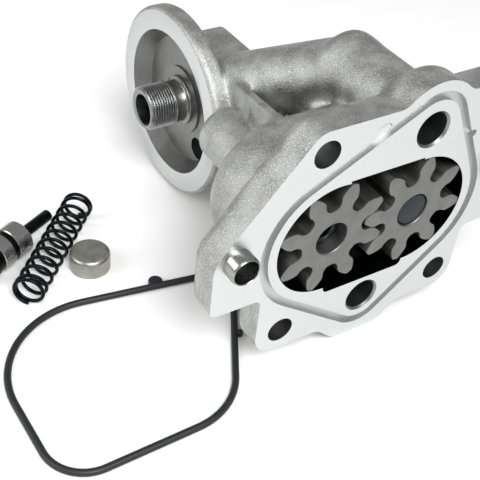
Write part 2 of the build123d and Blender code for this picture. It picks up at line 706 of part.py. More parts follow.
def filter_nipple():
    """Threaded nipple on which the filter spins, at the thread's major diameter."""
    tip = FILTER_RING_PLANE - NIPPLE_STAND_OUT
    base = RECESS_FLOOR - PAD_HEIGHT
    body = rod_x(FILTER_AXIS_DEPTH, FILTER_AXIS_HEIGHT, NIPPLE_RADIUS, tip, RECESS_FLOOR + NIPPLE_SEAT)
    body = chamfer(body.edges().filter_by(GeomType.CIRCLE).sort_by(Axis.X)[0], NIPPLE_TIP_CHAMFER)
    body += rod_x(FILTER_AXIS_DEPTH, FILTER_AXIS_HEIGHT, NIPPLE_COLLAR_RADIUS, base - NIPPLE_COLLAR_LENGTH, base)
    return body - rod_x(FILTER_AXIS_DEPTH, FILTER_AXIS_HEIGHT, NIPPLE_BORE_RADIUS,
                        tip - 1, RECESS_FLOOR + NIPPLE_SEAT + 1)


def relief_spool():
    """Relief valve spool with ground lands and a stem, lying on its lands."""
    radius = RELIEF_BORE_RADIUS - SPOOL_CLEARANCE
    reach = 0.0
    body = Part()
    for width in SPOOL_LANDS:
        land = Pos(0, 0, reach + width / 2) * Cylinder(radius, width)
        body += chamfer(land.edges().filter_by(GeomType.CIRCLE), SPOOL_EDGE)
        reach += width + SPOOL_GROOVE_WIDTH
    body += Pos(0, 0, (reach - 1) / 2) * Cylinder(radius - SPOOL_GROOVE_DEPTH, reach - 1 - SPOOL_GROOVE_WIDTH)
    stem = Pos(0, 0, -SPOOL_STEM_LENGTH / 2 + 0.5) * Cylinder(SPOOL_STEM_RADIUS, SPOOL_STEM_LENGTH + 1)
    stem = fillet(stem.edges().filter_by(GeomType.CIRCLE).sort_by(Axis.Z)[0], 1.0)
    body += stem
    x, y, heading = SPOOL_PLACE
    return Pos(x, y, GROUND + radius) * (Rot(0, 0, heading) * (Rot(0, -90, 0) * body))


def relief_spring():
    """Relief valve spring with closed ends, lying on its side."""
    line = SPRING_RADIUS - SPRING_WIRE_RADIUS
    closed = SPRING_CLOSED_TURNS * SPRING_CLOSED_PITCH
    free_turns = SPRING_TURNS - 2 * SPRING_CLOSED_TURNS
    free = SPRING_LENGTH - 2 * SPRING_WIRE_RADIUS - 2 * closed
    body = Part()
    reach = SPRING_WIRE_RADIUS
    turned = 0.0
    for turns, length in ((SPRING_CLOSED_TURNS, closed), (free_turns, free), (SPRING_CLOSED_TURNS, closed)):
        path = Helix(pitch=length / turns, height=length, radius=line)
        coil = sweep(Plane(origin=path @ 0, z_dir=path % 0) * Circle(SPRING_WIRE_RADIUS), path=path)
        body += Pos(0, 0, reach) * (Rot(0, 0, turned) * coil)
        reach += length
        turned += 360 * turns
        if reach < SPRING_LENGTH - closed / 2:
            joint = Rot(0, 0, turned) * Pos(line, 0, reach)
            body += joint * Sphere(SPRING_WIRE_RADIUS)
    x, y, heading = SPRING_PLACE
    return Pos(x, y, GROUND + SPRING_RADIUS) * (Rot(0, 0, heading) * (Rot(0, 90, 0) * body))


def relief_cup_plug():
    """Pressed steel cup that closes the relief bore, standing on its rim."""
    x, y = PLUG_PLACE
    cup = Pos(0, 0, PLUG_HEIGHT / 2) * Cylinder(PLUG_SEAT_RADIUS, PLUG_HEIGHT)
    cup = fillet(cup.edges().filter_by(GeomType.CIRCLE).sort_by(Axis.Z)[-1], PLUG_ROUND)
    inside = Pos(0, 0, (PLUG_HEIGHT - PLUG_WALL) / 2) * Cylinder(PLUG_SEAT_RADIUS - PLUG_WALL, PLUG_HEIGHT - PLUG_WALL)
    inside = fillet(inside.edges().filter_by(GeomType.CIRCLE).sort_by(Axis.Z)[-1], PLUG_ROUND / 3)
    return Pos(x, y, GROUND) * (cup - inside)


def housing_seal():
    """Rubber ring seal of the face groove, lying loose on the ground."""
    half = SEAL_THICKNESS / 2
    path = Pos(0, 0, GROUND + half) * belt_wire(SEAL_BELT)
    section = Plane(origin=path @ 0, z_dir=path % 0) * Circle(half)
    body = sweep(section, path=path)
    for centre, radius in tab_circles(SEAL_BELT):
        tab = Cylinder(radius - SEAL_SIDE_CLEARANCE, SEAL_THICKNESS)
        body += Pos(centre.X, centre.Y, GROUND + half) * tab
    return body


NODES = {
    "pump_housing": pump_housing,
    "drive_gear": drive_gear,
    "drive_shaft": drive_shaft,
    "drive_shaft_bush": drive_shaft_bush,
    "idler_gear": idler_gear,
    "idler_shaft": idler_shaft,
    "filter_nipple": filter_nipple,
    "relief_spool": relief_spool,
    "relief_spring": relief_spring,
    "relief_cup_plug": relief_cup_plug,
    "housing_seal": housing_seal,
}

os.makedirs("parts", exist_ok=True)
for name, make in NODES.items():
    export_step(make(), f"parts/{name}.step")
export_step(dowel_sleeve(*DOWEL_LEFT), "parts/dowel_sleeve_left.step")
export_step(dowel_sleeve(*DOWEL_RIGHT), "parts/dowel_sleeve_right.step")
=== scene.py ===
"""Engine oil pump with its filter head, relief valve pieces and face seal, dressed for rendering.

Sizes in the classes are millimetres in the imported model's frame: X from the drive gear to the idler
gear, +Y from the machined face into the housing, +Z up. Meshes are turned to metres when they are made.
"""

import logging
import math
from collections.abc import Callable, Sequence
from dataclasses import dataclass, field
from enum import Enum

import bmesh
import bpy
import numpy as np
from mathutils import Matrix, Vector

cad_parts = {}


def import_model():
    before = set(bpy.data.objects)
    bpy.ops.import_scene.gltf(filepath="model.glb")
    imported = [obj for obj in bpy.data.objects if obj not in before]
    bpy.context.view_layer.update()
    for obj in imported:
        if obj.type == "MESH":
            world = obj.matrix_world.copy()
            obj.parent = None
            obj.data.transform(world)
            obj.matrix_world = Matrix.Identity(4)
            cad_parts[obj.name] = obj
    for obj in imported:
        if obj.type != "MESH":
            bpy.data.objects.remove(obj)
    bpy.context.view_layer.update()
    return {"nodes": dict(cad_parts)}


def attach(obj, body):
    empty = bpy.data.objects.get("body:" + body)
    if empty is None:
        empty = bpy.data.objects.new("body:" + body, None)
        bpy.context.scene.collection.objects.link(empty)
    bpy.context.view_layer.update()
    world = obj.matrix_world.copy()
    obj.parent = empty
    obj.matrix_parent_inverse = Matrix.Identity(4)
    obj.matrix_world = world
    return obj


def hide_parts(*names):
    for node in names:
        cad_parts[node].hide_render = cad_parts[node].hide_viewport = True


LOG = logging.getLogger("oil_pump")
MM = 0.001
# Height of the ground that everything stands on, in millimetres.
GROUND = -67.6
# A length that counts as none, in millimetres.
TINY = 1e-9
Point = tuple[float, float, float]
Flat = tuple[float, float]


def linear(code: str) -> tuple[float, float, float, float]:
    """Turn an sRGB hex colour to linear light.

    Args:
        code: Six hex digits, with or without a leading hash.

    Returns:
        Linear red, green, blue and an alpha of 1.
    """
    digits = code.lstrip("#")
    channels = []
    for start in (0, 2, 4):
        value = int(digits[start:start + 2], 16) / 255
        channels.append(value / 12.92 if value <= 0.04045 else ((value + 0.055) / 1.055) ** 2.4)
    return (channels[0], channels[1], channels[2], 1.0)


def per_mm(size: float) -> float:
    """Texture scale at which one feature of a pattern measures size millimetres."""
    return 1 / (size * MM)


def add_node(
    tree: bpy.types.NodeTree,
    kind: str,
    inputs: dict[str | int, object] | None = None,
    **settings: object,
) -> bpy.types.Node:
    """Add a node with its settings, values and links.

    Args:
        tree: Node tree that gets the node.
        kind: Type name of the node.
        inputs: Values or source sockets, by the name or index of the input.
        settings: Properties of the node itself.

    Returns:
        The new node.
    """
    made = tree.nodes.new(kind)
    for name, value in settings.items():
        setattr(made, name, value)
    for name, value in (inputs or {}).items():
        if isinstance(value, bpy.types.NodeSocket):
            tree.links.new(value, made.inputs[name])
        else:
            made.inputs[name].default_value = value
    return made


class Side(Enum):
    """Direction in which a turned piece's axis points."""

    ALONG_X = "x"
    ALONG_Y = "y"
    UPRIGHT = "z"

    def frame(self, origin: Point) -> Matrix:
        """Placement that carries a turned piece's own +Z to this direction.

        Args:
            origin: Point in millimetres on the axis, at station 0.

        Returns:
            The placement matrix, in millimetres.
        """
        turns = {
            Side.ALONG_X: Matrix.Rotation(math.pi / 2, 4, "Y"),
            Side.ALONG_Y: Matrix.Rotation(-math.pi / 2, 4, "X"),
            Side.UPRIGHT: Matrix.Identity(4),
        }
        return Matrix.Translation(Vector(origin)) @ turns[self]


class Skin(Enum):
    """How a region of the housing was made; the value is its material slot."""

    CAST = 0
    MILLED = 1
    BORED = 2
    CHAMBER = 3
    GROOVE = 4
    RECESS = 5


@dataclass(frozen=True)
class Finish:
    """What every finish has: a colour, a relief and a roughness.

    Attributes:
        name: Name of the material.
        base: sRGB colour of the surface.
        relief: Height of its pattern in millimetres.
        roughness: Mean roughness.
        spread: Change of roughness over the surface.
    """

    name: str
    base: str
    relief: float
    roughness: float
    spread: float

    def started(self) -> tuple[bpy.types.Material, bpy.types.NodeSocket]:
        """Start the material with its texture coordinates.

        Returns:
            The material, still without a surface, and the socket of its Object coordinates.
        """
        made = bpy.data.materials.new(self.name)
        made.use_nodes = True
        made.node_tree.nodes.clear()
        return made, add_node(made.node_tree, "ShaderNodeTexCoord").outputs["Object"]

    def surface(
        self,
        tree: bpy.types.NodeTree,
        colour: bpy.types.NodeSocket,
        height: bpy.types.NodeSocket,
        tone: bpy.types.NodeSocket,
        metallic: float = 1.0,
    ) -> None:
        """Add the surface with its bump and its change of roughness.

        Args:
            tree: The material's nodes.
            colour: Colour of the surface.
            height: Pattern that the bump follows.
            tone: Pattern that the roughness follows.
            metallic: 1 for metal and 0 for rubber.
        """
        rough = add_node(tree, "ShaderNodeMapRange", {
            "Value": tone, "From Min": 0.3, "From Max": 0.7,
            "To Min": self.roughness - self.spread, "To Max": self.roughness + self.spread})
        bump = add_node(tree, "ShaderNodeBump", {
            "Strength": 1.0, "Distance": self.relief * MM, "Height": height})
        shading = add_node(tree, "ShaderNodeBsdfPrincipled", {
            "Base Color": colour, "Metallic": metallic,
            "Roughness": rough.outputs["Result"], "Normal": bump.outputs["Normal"]})
        add_node(tree, "ShaderNodeOutputMaterial", {"Surface": shading.outputs["BSDF"]})


@dataclass(frozen=True)
class Grain(Finish):
    """Two-tone grain of a surface, with the bump that goes with it.

    Attributes:
        light: sRGB colour of its lighter grains.
        dark: sRGB colour of its darker patches.
        grain: Size of a grain in millimetres.
        patch: Size of a darker patch in millimetres.
        share: Share of the surface's colour taken by grains, from 0 to 1.
        metallic: 1 for metal and 0 for rubber.
    """

    light: str
    dark: str
    grain: float
    patch: float
    share: float
    metallic: float = 1.0

    def material(self) -> bpy.types.Material:
        """Make the material's nodes.

        Returns:
            The finished material.
        """
        made, place = self.started()
        tree = made.node_tree
        fine = add_node(tree, "ShaderNodeTexNoise", {
            "Vector": place, "Scale": per_mm(self.grain), "Detail": 3.0, "Roughness": 0.6})
        broad = add_node(tree, "ShaderNodeTexNoise", {
            "Vector": place, "Scale": per_mm(self.patch), "Detail": 2.0, "Roughness": 0.5})
        speck = add_node(tree, "ShaderNodeMapRange", {
            "Value": fine.outputs["Fac"], "From Min": 0.5, "From Max": 0.72,
            "To Min": 0.0, "To Max": self.share})
        cloud = add_node(tree, "ShaderNodeMapRange", {
            "Value": broad.outputs["Fac"], "From Min": 0.35, "From Max": 0.65,
            "To Min": 0.0, "To Max": 1.0})
        ground = add_node(tree, "ShaderNodeMix", {
            "Factor": cloud.outputs["Result"], 6: linear(self.dark), 7: linear(self.base)},
            data_type="RGBA")
        colour = add_node(tree, "ShaderNodeMix", {
            "Factor": speck.outputs["Result"], 6: ground.outputs[2], 7: linear(self.light)},
            data_type="RGBA")
        self.surface(
            tree, colour.outputs[2], fine.outputs["Fac"], broad.outputs["Fac"], self.metallic)
        return made


@dataclass(frozen=True)
class ToolMarks(Finish):
    """Machined metal: fine lay marks on a clean bright ground.

    Attributes:
        shade: sRGB colour in the marks.
        pitch: Distance between marks in millimetres.
        stretch: How much longer than wide a mark is, along each axis.
    """

    shade: str
    pitch: float
    stretch: Point = (1.0, 1.0, 1.0)

    def material(self) -> bpy.types.Material:
        """Make the material's nodes.

        Returns:
            The finished material.
        """
        made, place = self.started()
        tree = made.node_tree
        drawn = add_node(tree, "ShaderNodeMapping", {
            "Vector": place, "Scale": tuple(1 / length for length in self.stretch)})
        marks = add_node(tree, "ShaderNodeTexNoise", {
            "Vector": drawn.outputs["Vector"], "Scale": per_mm(self.pitch), "Detail": 2.0}).outputs["Fac"]
        colour = add_node(tree, "ShaderNodeMix", {
            "Factor": marks, 6: linear(self.shade), 7: linear(self.base)}, data_type="RGBA")
        self.surface(tree, colour.outputs[2], marks, marks)
        return made


# Gravity-cast aluminium, shot-blasted: warm grey with light grains and a soft sheen.
CAST_ALUMINIUM = Grain(
    "cast_aluminium", base="B3B4B0", light="F1F2EF", dark="999A96",
    grain=0.7, patch=9.0, share=0.6, relief=0.3, roughness=0.48, spread=0.08)
# Face-milled aluminium: nearly white, with fine straight lay marks.
MILLED_ALUMINIUM = ToolMarks(
    "milled_aluminium", base="D4D8D7", shade="C6CAC9", pitch=0.5, stretch=(14.0, 1.0, 1.0),
    relief=0.006, roughness=0.4, spread=0.06)
# Bored and drilled aluminium: the same metal, darker where little light reaches it.
BORED_ALUMINIUM = ToolMarks(
    "bored_aluminium", base="8E8F8E", shade="77797A", pitch=0.4,
    relief=0.008, roughness=0.36, spread=0.06)
# Walls and floor of the milled seal groove: satin light grey.
GROOVED_ALUMINIUM = ToolMarks(
    "grooved_aluminium", base="CDD0CF", shade="BDC0BF", pitch=0.5,
    relief=0.004, roughness=0.5, spread=0.05)
# Filter recess as cast and rough-turned: a mid grey with a soft sheen, darker than the casting as painted
# shade in the bowl.
RECESS_PAINTED_SHADE = Grain(
    "recess_painted_shade", base="828380", light="959693", dark="777875",
    grain=0.9, patch=8.0, share=0.35, relief=0.06, roughness=0.36, spread=0.05)
# Gear chamber wall: near-black painted shade, for the deep shade inside the chamber.
CHAMBER_PAINTED_SHADE = Grain(
    "chamber_wall_painted_shade", base="1B1C1D", light="2C2D2E", dark="131415",
    grain=1.2, patch=12.0, share=0.3, relief=0.01, roughness=0.42, spread=0.06)
# Sintered steel gear, ground on its face: flat dark grey with a fine grain.
SINTERED_STEEL = Grain(
    "sintered_steel", base="7C7D7B", light="929390", dark="70716E",
    grain=0.6, patch=7.0, share=0.35, relief=0.02, roughness=0.46, spread=0.05)
# Hardened and ground shaft steel with a blue-grey tint.
SHAFT_STEEL = ToolMarks(
    "shaft_steel", base="3A3F45", shade="2C3035", pitch=0.6,
    relief=0.004, roughness=0.38, spread=0.05)
# Turned and zinc-bright steel of dowels, nipple and valve lands.
BRIGHT_STEEL = ToolMarks(
    "bright_steel", base="A1A2A0", shade="939492", pitch=0.9,
    relief=0.001, roughness=0.25, spread=0.03)
# Rolled thread of the filter nipple: darker plain steel.
THREADED_STEEL = ToolMarks(
    "threaded_steel", base="949594", shade="868787", pitch=1.5,
    relief=0.0005, roughness=0.3, spread=0.03)
# Black oxide on spring wire and the spool's stem and grooves.
BLACK_OXIDE = Grain(
    "black_oxide_steel", base="1E1F21", light="2E2F32", dark="161719",
    grain=0.5, patch=5.0, share=0.3, relief=0.008, roughness=0.36, spread=0.06)
# Pressed steel cup, tumbled to a satin grey.
PRESSED_STEEL = Grain(
    "pressed_steel", base="A5A59E", light="BDBDB6", dark="94948D",
    grain=0.5, patch=4.0, share=0.3, relief=0.015, roughness=0.38, spread=0.06)
# Moulded nitrile rubber, matt with a faint bloom.
NITRILE_RUBBER = Grain(
    "nitrile_rubber", base="141518", light="1F2125", dark="101114",
    grain=0.5, patch=6.0, share=0.3, relief=0.02, roughness=0.5, spread=0.05, metallic=0.0)
# Leaded bronze of the hidden bearing bush.
BEARING_BRONZE = ToolMarks(
    "bearing_bronze", base="A8854B", shade="8F6F3B", pitch=0.5,
    relief=0.005, roughness=0.35, spread=0.05)


@dataclass
class Shape:
    """A mesh in the making, in millimetres.

    Attributes:
        points: Its corners.
        faces: Its faces, as corner numbers.
        slots: The material slot of each face.
    """

    points: list[Point] = field(default_factory=list)
    faces: list[tuple[int, ...]] = field(default_factory=list)
    slots: list[int] = field(default_factory=list)

    def mesh(self, name: str, materials: Sequence[bpy.types.Material]) -> bpy.types.Mesh:
        """Make the mesh, in metres, with its faces turned outwards.

        Args:
            name: Name of the mesh.
            materials: Its material slots.

        Returns:
            The new mesh.
        """
        made = bpy.data.meshes.new(name)
        made.from_pydata([tuple(c * MM for c in p) for p in self.points], [], self.faces)
        for material in materials:
            made.materials.append(material)
        if self.slots:
            made.polygons.foreach_set("material_index", self.slots)
        made.update()
        outward(made)
        return made


def turned(
    profile: Sequence[Flat],
    place: Matrix,
    segments: int = 96,
    slots: Sequence[int] | int = 0,
    wave: Callable[[float, float], float] | None = None,
) -> Shape:
    """Turn a profile round the axis of its placement.

    Args:
        profile: Points (station, radius) from one end of the axis to the other, or round a closed
            section that doesn't touch the axis.
        place: Placement of the axis, in millimetres.
        segments: Number of steps round the axis.
        slots: Material slot of the shape, or of each run between two points of the profile.
        wave: Change of radius at a station and a share of the turn.

    Returns:
        The closed shape.
    """
    shape = Shape()
    ring = abs(profile[0][1]) > TINY
    rows: list[list[int]] = []
    for station, radius in profile:
        row = []
        count = segments if radius > TINY else 1
        for step in range(count):
            share = step / segments
            reach = radius + (wave(station, share) if wave and radius > TINY else 0.0)
            turn = 2 * math.pi * share
            spot = place @ Vector((reach * math.cos(turn), reach * math.sin(turn), station))
            row.append(len(shape.points))
            shape.points.append(tuple(spot))
        rows.append(row)
    runs = len(rows) if ring else len(rows) - 1
    for index in range(runs):
        low, high = rows[index], rows[(index + 1) % len(rows)]
        slot = slots if isinstance(slots, int) else slots[index]
        for step in range(segments):
            after = (step + 1) % segments
            corners = [
                low[step % len(low)], low[after % len(low)],
                high[after % len(high)], high[step % len(high)]]
            kept = tuple(dict.fromkeys(corners))
            if len(kept) > 2:
                shape.faces.append(kept)
                shape.slots.append(slot)
    return shape


def bar(radius: float, low: float, high: float) -> list[Flat]:
    """Profile of a plain round bar between two stations."""
    return [(low, 0.0), (low, radius), (high, radius), (high, 0.0)]


def prism(outline: Sequence[Flat], low: float, high: float, slot: int = 0) -> Shape:
    """Carry an outline of the face's plane (x, z) from one depth to another.

    Args:
        outline: Closed outline.
        low: First depth.
        high: Last depth.
        slot: Material slot of every face.

    Returns:
        The closed shape.
    """
    count = len(outline)
    shape = Shape()
    shape.points = [(x, depth, z) for depth in (low, high) for x, z in outline]
    shape.faces = [tuple(range(count)), tuple(range(2 * count - 1, count - 1, -1))]
    for step in range(count):
        after = (step + 1) % count
        shape.faces.append((step, step + count, after + count, after))
    shape.slots = [slot] * len(shape.faces)
    return shape


def block(low: Point, high: Point, slot: int = 0) -> Shape:
    """Block between two corners."""
    outline = [(low[0], low[2]), (high[0], low[2]), (high[0], high[2]), (low[0], high[2])]
    return prism(outline, low[1], high[1], slot)


def arc(centre: Flat, radius: float, start: float, end: float, steps: int) -> list[Flat]:
    """Points of an arc, with its angles in radians."""
    turns = [start + (end - start) * step / steps for step in range(steps + 1)]
    return [(centre[0] + radius * math.cos(t), centre[1] + radius * math.sin(t)) for t in turns]


def rounded_outline(corners: Sequence[tuple[float, float, float]], step: float) -> list[Flat]:
    """Round each corner of an outline by a tangent arc.

    Args:
        corners: Points (x, z, radius) round the outline.
        step: Largest angle between two points of an arc, in radians.

    Returns:
        The outline's points.
    """
    made: list[Flat] = []
    for index, (x, z, radius) in enumerate(corners):
        here = Vector((x, z))
        before = (Vector(corners[index - 1][:2]) - here).normalized()
        after = (Vector(corners[(index + 1) % len(corners)][:2]) - here).normalized()
        half = before.angle(after) / 2
        middle = here + (before + after).normalized() * (radius / math.sin(half))
        first = here + before * (radius / math.tan(half)) - middle
        last = here + after * (radius / math.tan(half)) - middle
        start = math.atan2(first.y, first.x)
        sweep = (math.atan2(last.y, last.x) - start + math.pi) % (2 * math.pi) - math.pi
        count = max(2, math.ceil(abs(sweep) / step))
        made += arc((middle.x, middle.y), radius, start, start + sweep, count)
    return made


@dataclass(frozen=True)
class Belt:
    """Closed line of straights and arcs round a set of circles, taken clockwise.

    Attributes:
        circles: Circles (u, v, radius of the line).
        tabs: Locating tabs (span number, share of the span, radius).
        tab_offset: How far outside the line a tab's centre lies.
    """

    circles: tuple[tuple[float, float, float], ...]
    tabs: tuple[tuple[int, float, float], ...] = ((0, 0.634, 4.0), (1, 0.49, 1.9))
    tab_offset: float = 2.6

    def spans(self) -> list[tuple[Vector, Vector, float]]:
        """Straight runs between the circles.

        Returns:
            The start, the end and the angle of the outward normal of each run.
        """
        made = []
        for index, (u, v, radius) in enumerate(self.circles):
            next_u, next_v, next_radius = self.circles[(index + 1) % len(self.circles)]
            heading = math.atan2(next_v - v, next_u - u)
            normal = heading + math.acos((radius - next_radius) / math.hypot(next_u - u, next_v - v))
            side = Vector((math.cos(normal), math.sin(normal)))
            start = Vector((u, v)) + side * radius
            end = Vector((next_u, next_v)) + side * next_radius
            made.append((start, end, normal))
        return made

    def line(self, offset: float, step: float = math.radians(3)) -> list[Flat]:
        """Points of the line, moved outwards.

        Args:
            offset: Distance outside the line.
            step: Largest angle between two points of an arc, in radians.

        Returns:
            The points, clockwise.
        """
        spans = self.spans()
        made: list[Flat] = []
        for index, (start, end, normal) in enumerate(spans):
            following = spans[(index + 1) % len(spans)][2]
            u, v, radius = self.circles[(index + 1) % len(self.circles)]
            side = Vector((math.cos(normal), math.sin(normal))) * offset
            made += [tuple(start + (end - start) * share + side) for share in (0.25, 0.5, 0.75)]
            turn = (normal - following) % (2 * math.pi)
            made += arc((u, v), radius + offset, normal, normal - turn, max(2, math.ceil(turn / step)))
        return made

    def tab_circles(self) -> list[tuple[Flat, float]]:
        """Circles of the tabs.

        Returns:
            The centre and the radius of each.
        """
        spans = self.spans()
        made = []
        for index, share, radius in self.tabs:
            start, end, normal = spans[index]
            side = Vector((math.cos(normal), math.sin(normal))) * self.tab_offset
            made.append((tuple(start + (end - start) * share + side), radius))
        return made


def linked(name: str, data: bpy.types.ID) -> bpy.types.Object:
    """Put a mesh, a lamp or a camera in the scene.

    Args:
        name: Name of the object.
        data: What it shows.

    Returns:
        The object.
    """
    made = bpy.data.objects.new(name, data)
    bpy.context.scene.collection.objects.link(made)
    return made


def piece(
    name: str,
    mesh: bpy.types.Mesh,
    body: str,
    replaced: Sequence[str] = (),
    sharp: float = 32.0,
) -> bpy.types.Object:
    """Put a finished mesh in the scene on its body.

    Args:
        name: Name of the piece.
        mesh: Its mesh, in place.
        body: Body that it rides on.
        replaced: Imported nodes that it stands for.
        sharp: Edges with a larger angle than this, in degrees, stay sharp.

    Returns:
        The piece.
    """
    mesh.shade_smooth()
    mesh.set_sharp_from_angle(angle=math.radians(sharp))
    made = linked(name, mesh)
    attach(made, body)
    if replaced:
        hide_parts(*replaced)
    LOG.info("%s: %d faces on %s", name, len(mesh.polygons), body)
    return made


def applied(source: bpy.types.Object) -> bpy.types.Mesh:
    """Evaluate an object's modifiers into a plain mesh and remove the object.

    Args:
        source: Object with live modifiers.

    Returns:
        The evaluated mesh.
    """
    view = bpy.context.evaluated_depsgraph_get()
    made = bpy.data.meshes.new_from_object(source.evaluated_get(view))
    bpy.data.objects.remove(source)
    return made


def carved(mesh: bpy.types.Mesh, tools: Sequence[Shape], joined: bool = False) -> bpy.types.Mesh:
    """Cut tools out of a mesh, or join them to it, one after the other.

    Args:
        mesh: Closed mesh to work on.
        tools: Closed shapes; their material slots go to the faces that they leave.
        joined: True to join the shapes to the mesh.

    Returns:
        The new mesh, with the same materials.
    """
    materials = list(mesh.materials)
    for tool in tools:
        cutter = linked("cutter", tool.mesh("cutter", materials))
        work = linked("working", mesh)
        step = work.modifiers.new("cut", "BOOLEAN")
        step.operation = "UNION" if joined else "DIFFERENCE"
        step.solver = "MANIFOLD"
        step.object = cutter
        mesh = applied(work)
        bpy.data.objects.remove(cutter)
    return mesh


def outward(mesh: bpy.types.Mesh) -> None:
    """Turn every face of a closed mesh outwards.

    Args:
        mesh: Mesh that is changed.
    """
    work = bmesh.new()
    work.from_mesh(mesh)
    bmesh.ops.recalc_face_normals(work, faces=work.faces)
    work.to_mesh(mesh)
    work.free()


@dataclass
class CastForm:
    """Raw casting as one smooth distance field, from which its skin is drawn.

    Attributes:
        low: Lowest corner of the space that is sampled.
        high: Highest corner of that space.
        spare: Depth at which the forms that reach the face start, with stock for milling.
        pitch: Distance between samples.
        blend: Size of the cast fillets where two forms meet.
        empty: Distance that a sample of empty space starts with.
    """

    low: Point = (-66.0, -12.0, -74.0)
    high: Point = (116.0, 201.0, 76.0)
    spare: float = -9.0
    pitch: float = 1.15
    blend: float = 6.0
    empty: float = 1000.0

    def __post_init__(self) -> None:
        """Lay out the samples and start with empty space."""
        axes = [np.arange(a, b + self.pitch, self.pitch) for a, b in zip(self.low, self.high)]
        self.x = axes[0][:, None, None]
        self.y = axes[1][None, :, None]
        self.z = axes[2][None, None, :]
        self.field = np.full([len(axis) for axis in axes], self.empty)

    def add(self, distance: np.ndarray, blend: float | None = None) -> None:
        """Join a form to the casting with a cast fillet.

        Args:
            distance: Distance to the form at each sample, negative inside it.
            blend: Size of the fillet, where it isn't the usual one.
        """
        size = self.blend if blend is None else blend
        overlap = np.maximum(size - np.abs(self.field - distance), 0) / size
        self.field = np.minimum(self.field, distance) - overlap * overlap * size / 4

    def shared(self, first: np.ndarray, second: np.ndarray, rounding: float) -> np.ndarray:
        """Distance to what two forms have in common, with the edge between them rounded."""
        a, b = first + rounding, second + rounding
        return np.minimum(np.maximum(a, b), 0) + np.hypot(np.maximum(a, 0), np.maximum(b, 0)) - rounding

    def carried(
        self, flat: np.ndarray, along: np.ndarray, low: float, high: float, rounding: float,
    ) -> np.ndarray:
        """Distance to a flat form that is carried along an axis, with its ends' edges rounded."""
        return self.shared(flat, np.abs(along - (low + high) / 2) - (high - low) / 2, rounding)

    def barrel(
        self, axis: Side, centre: Flat, radius: float, low: float, high: float, rounding: float,
    ) -> np.ndarray:
        """Distance to a round form along an axis.

        Args:
            axis: Direction of its axis.
            centre: Where the axis lies in the other two directions.
            radius: Radius of the form.
            low: Station of its first end.
            high: Station of its last end.
            rounding: Radius of the edges of its ends.

        Returns:
            The distance at each sample.
        """
        across = {
            Side.ALONG_X: (self.y, self.z, self.x),
            Side.ALONG_Y: (self.x, self.z, self.y),
            Side.UPRIGHT: (self.x, self.y, self.z),
        }[axis]
        flat = np.hypot(across[0] - centre[0], across[1] - centre[1]) - radius
        return self.carried(flat, across[2], low, high, rounding)

    def cased(self, low: Point, high: Point, rounding: float) -> np.ndarray:
        """Distance to a block with rounded edges.

        Args:
            low: Its lowest corner.
            high: Its highest corner.
            rounding: Radius of its edges.

        Returns:
            The distance at each sample.
        """
        parts = []
        for axis, a, b in zip((self.x, self.y, self.z), low, high):
            parts.append(np.abs(axis - (a + b) / 2) - (b - a) / 2 + rounding)
        outside = np.sqrt(sum(np.maximum(part, 0) ** 2 for part in parts))
        inside = np.minimum(np.maximum(np.maximum(parts[0], parts[1]), parts[2]), 0)
        return outside + inside - rounding

    def stadium(self, start: Flat, end: Flat, radius: float) -> np.ndarray:
        """Flat distance (x, z) to a bar with round ends."""
        return self.span_distance((start[0], 0.0, start[1]), (end[0], 0.0, end[1]), flat=True) - radius

    def span_distance(
        self, start: Point, end: Point, flat: bool = False, widening: float = 0.0,
    ) -> np.ndarray:
        """Distance to a straight line between two points.

        Args:
            start: First point.
            end: Last point.
            flat: True to leave out the depth.
            widening: How much the form round the line grows towards its start.

        Returns:
            The distance at each sample.
        """
        way = np.array(end) - np.array(start)
        depth = np.zeros_like(self.y) if flat else self.y - start[1]
        x, z = self.x - start[0], self.z - start[2]
        share = np.clip((x * way[0] + depth * way[1] + z * way[2]) / float(way @ way), 0, 1)
        beside = (x - share * way[0]) ** 2 + (depth - share * way[1]) ** 2
        apart = np.sqrt(beside + (z - share * way[2]) ** 2)
        return apart - widening * (1 - share)

    def outline_distance(self, outline: Sequence[Flat], in_plan: bool = False) -> np.ndarray:
        """Flat distance to a closed outline, negative inside it.

        Args:
            outline: Its points (x, z), or (x, y) in plan.
            in_plan: True for an outline seen from above.

        Returns:
            The distance at each sample of the plane.
        """
        x = self.x[:, :, 0]
        z = self.y[:, :, 0] if in_plan else self.z[0]
        nearest = np.full((x.shape[0], z.shape[1]), self.empty ** 2)
        inside = np.zeros(nearest.shape, bool)
        for (ax, az), (bx, bz) in zip(outline, outline[1:] + outline[:1]):
            px, pz = x - ax, z - az
            length = (bx - ax) ** 2 + (bz - az) ** 2
            if length < TINY:
                continue
            share = np.clip((px * (bx - ax) + pz * (bz - az)) / length, 0, 1)
            nearest = np.minimum(nearest, (px - share * (bx - ax)) ** 2 + (pz - share * (bz - az)) ** 2)
            if az != bz:
                level = (z >= min(az, bz)) & (z < max(az, bz))
                inside ^= level & (x < ax + (bx - ax) * (z - az) / (bz - az))
        distance = np.sqrt(nearest)
        signed = np.where(inside, -distance, distance)
        return signed[:, :, None] if in_plan else signed[:, None, :]

    def sloping(
        self, plan: Sequence[Flat], bottom: float, tops: tuple[Flat, Flat], rounding: float,
    ) -> np.ndarray:
        """Distance to an upright form whose top slopes along the depth.

        Args:
            plan: Its outline (x, y) from above.
            bottom: Height of its underside.
            tops: Two points (y, z) of the top's line.
            rounding: Radius of its edges.

        Returns:
            The distance at each sample.
        """
        (near, near_top), (far, far_top) = tops
        slope = (far_top - near_top) / (far - near)
        above = (self.z - near_top - (self.y - near) * slope) / math.hypot(1.0, slope)
        side = self.outline_distance(plan, in_plan=True)
        return self.shared(side, np.maximum(above, bottom - self.z), rounding)

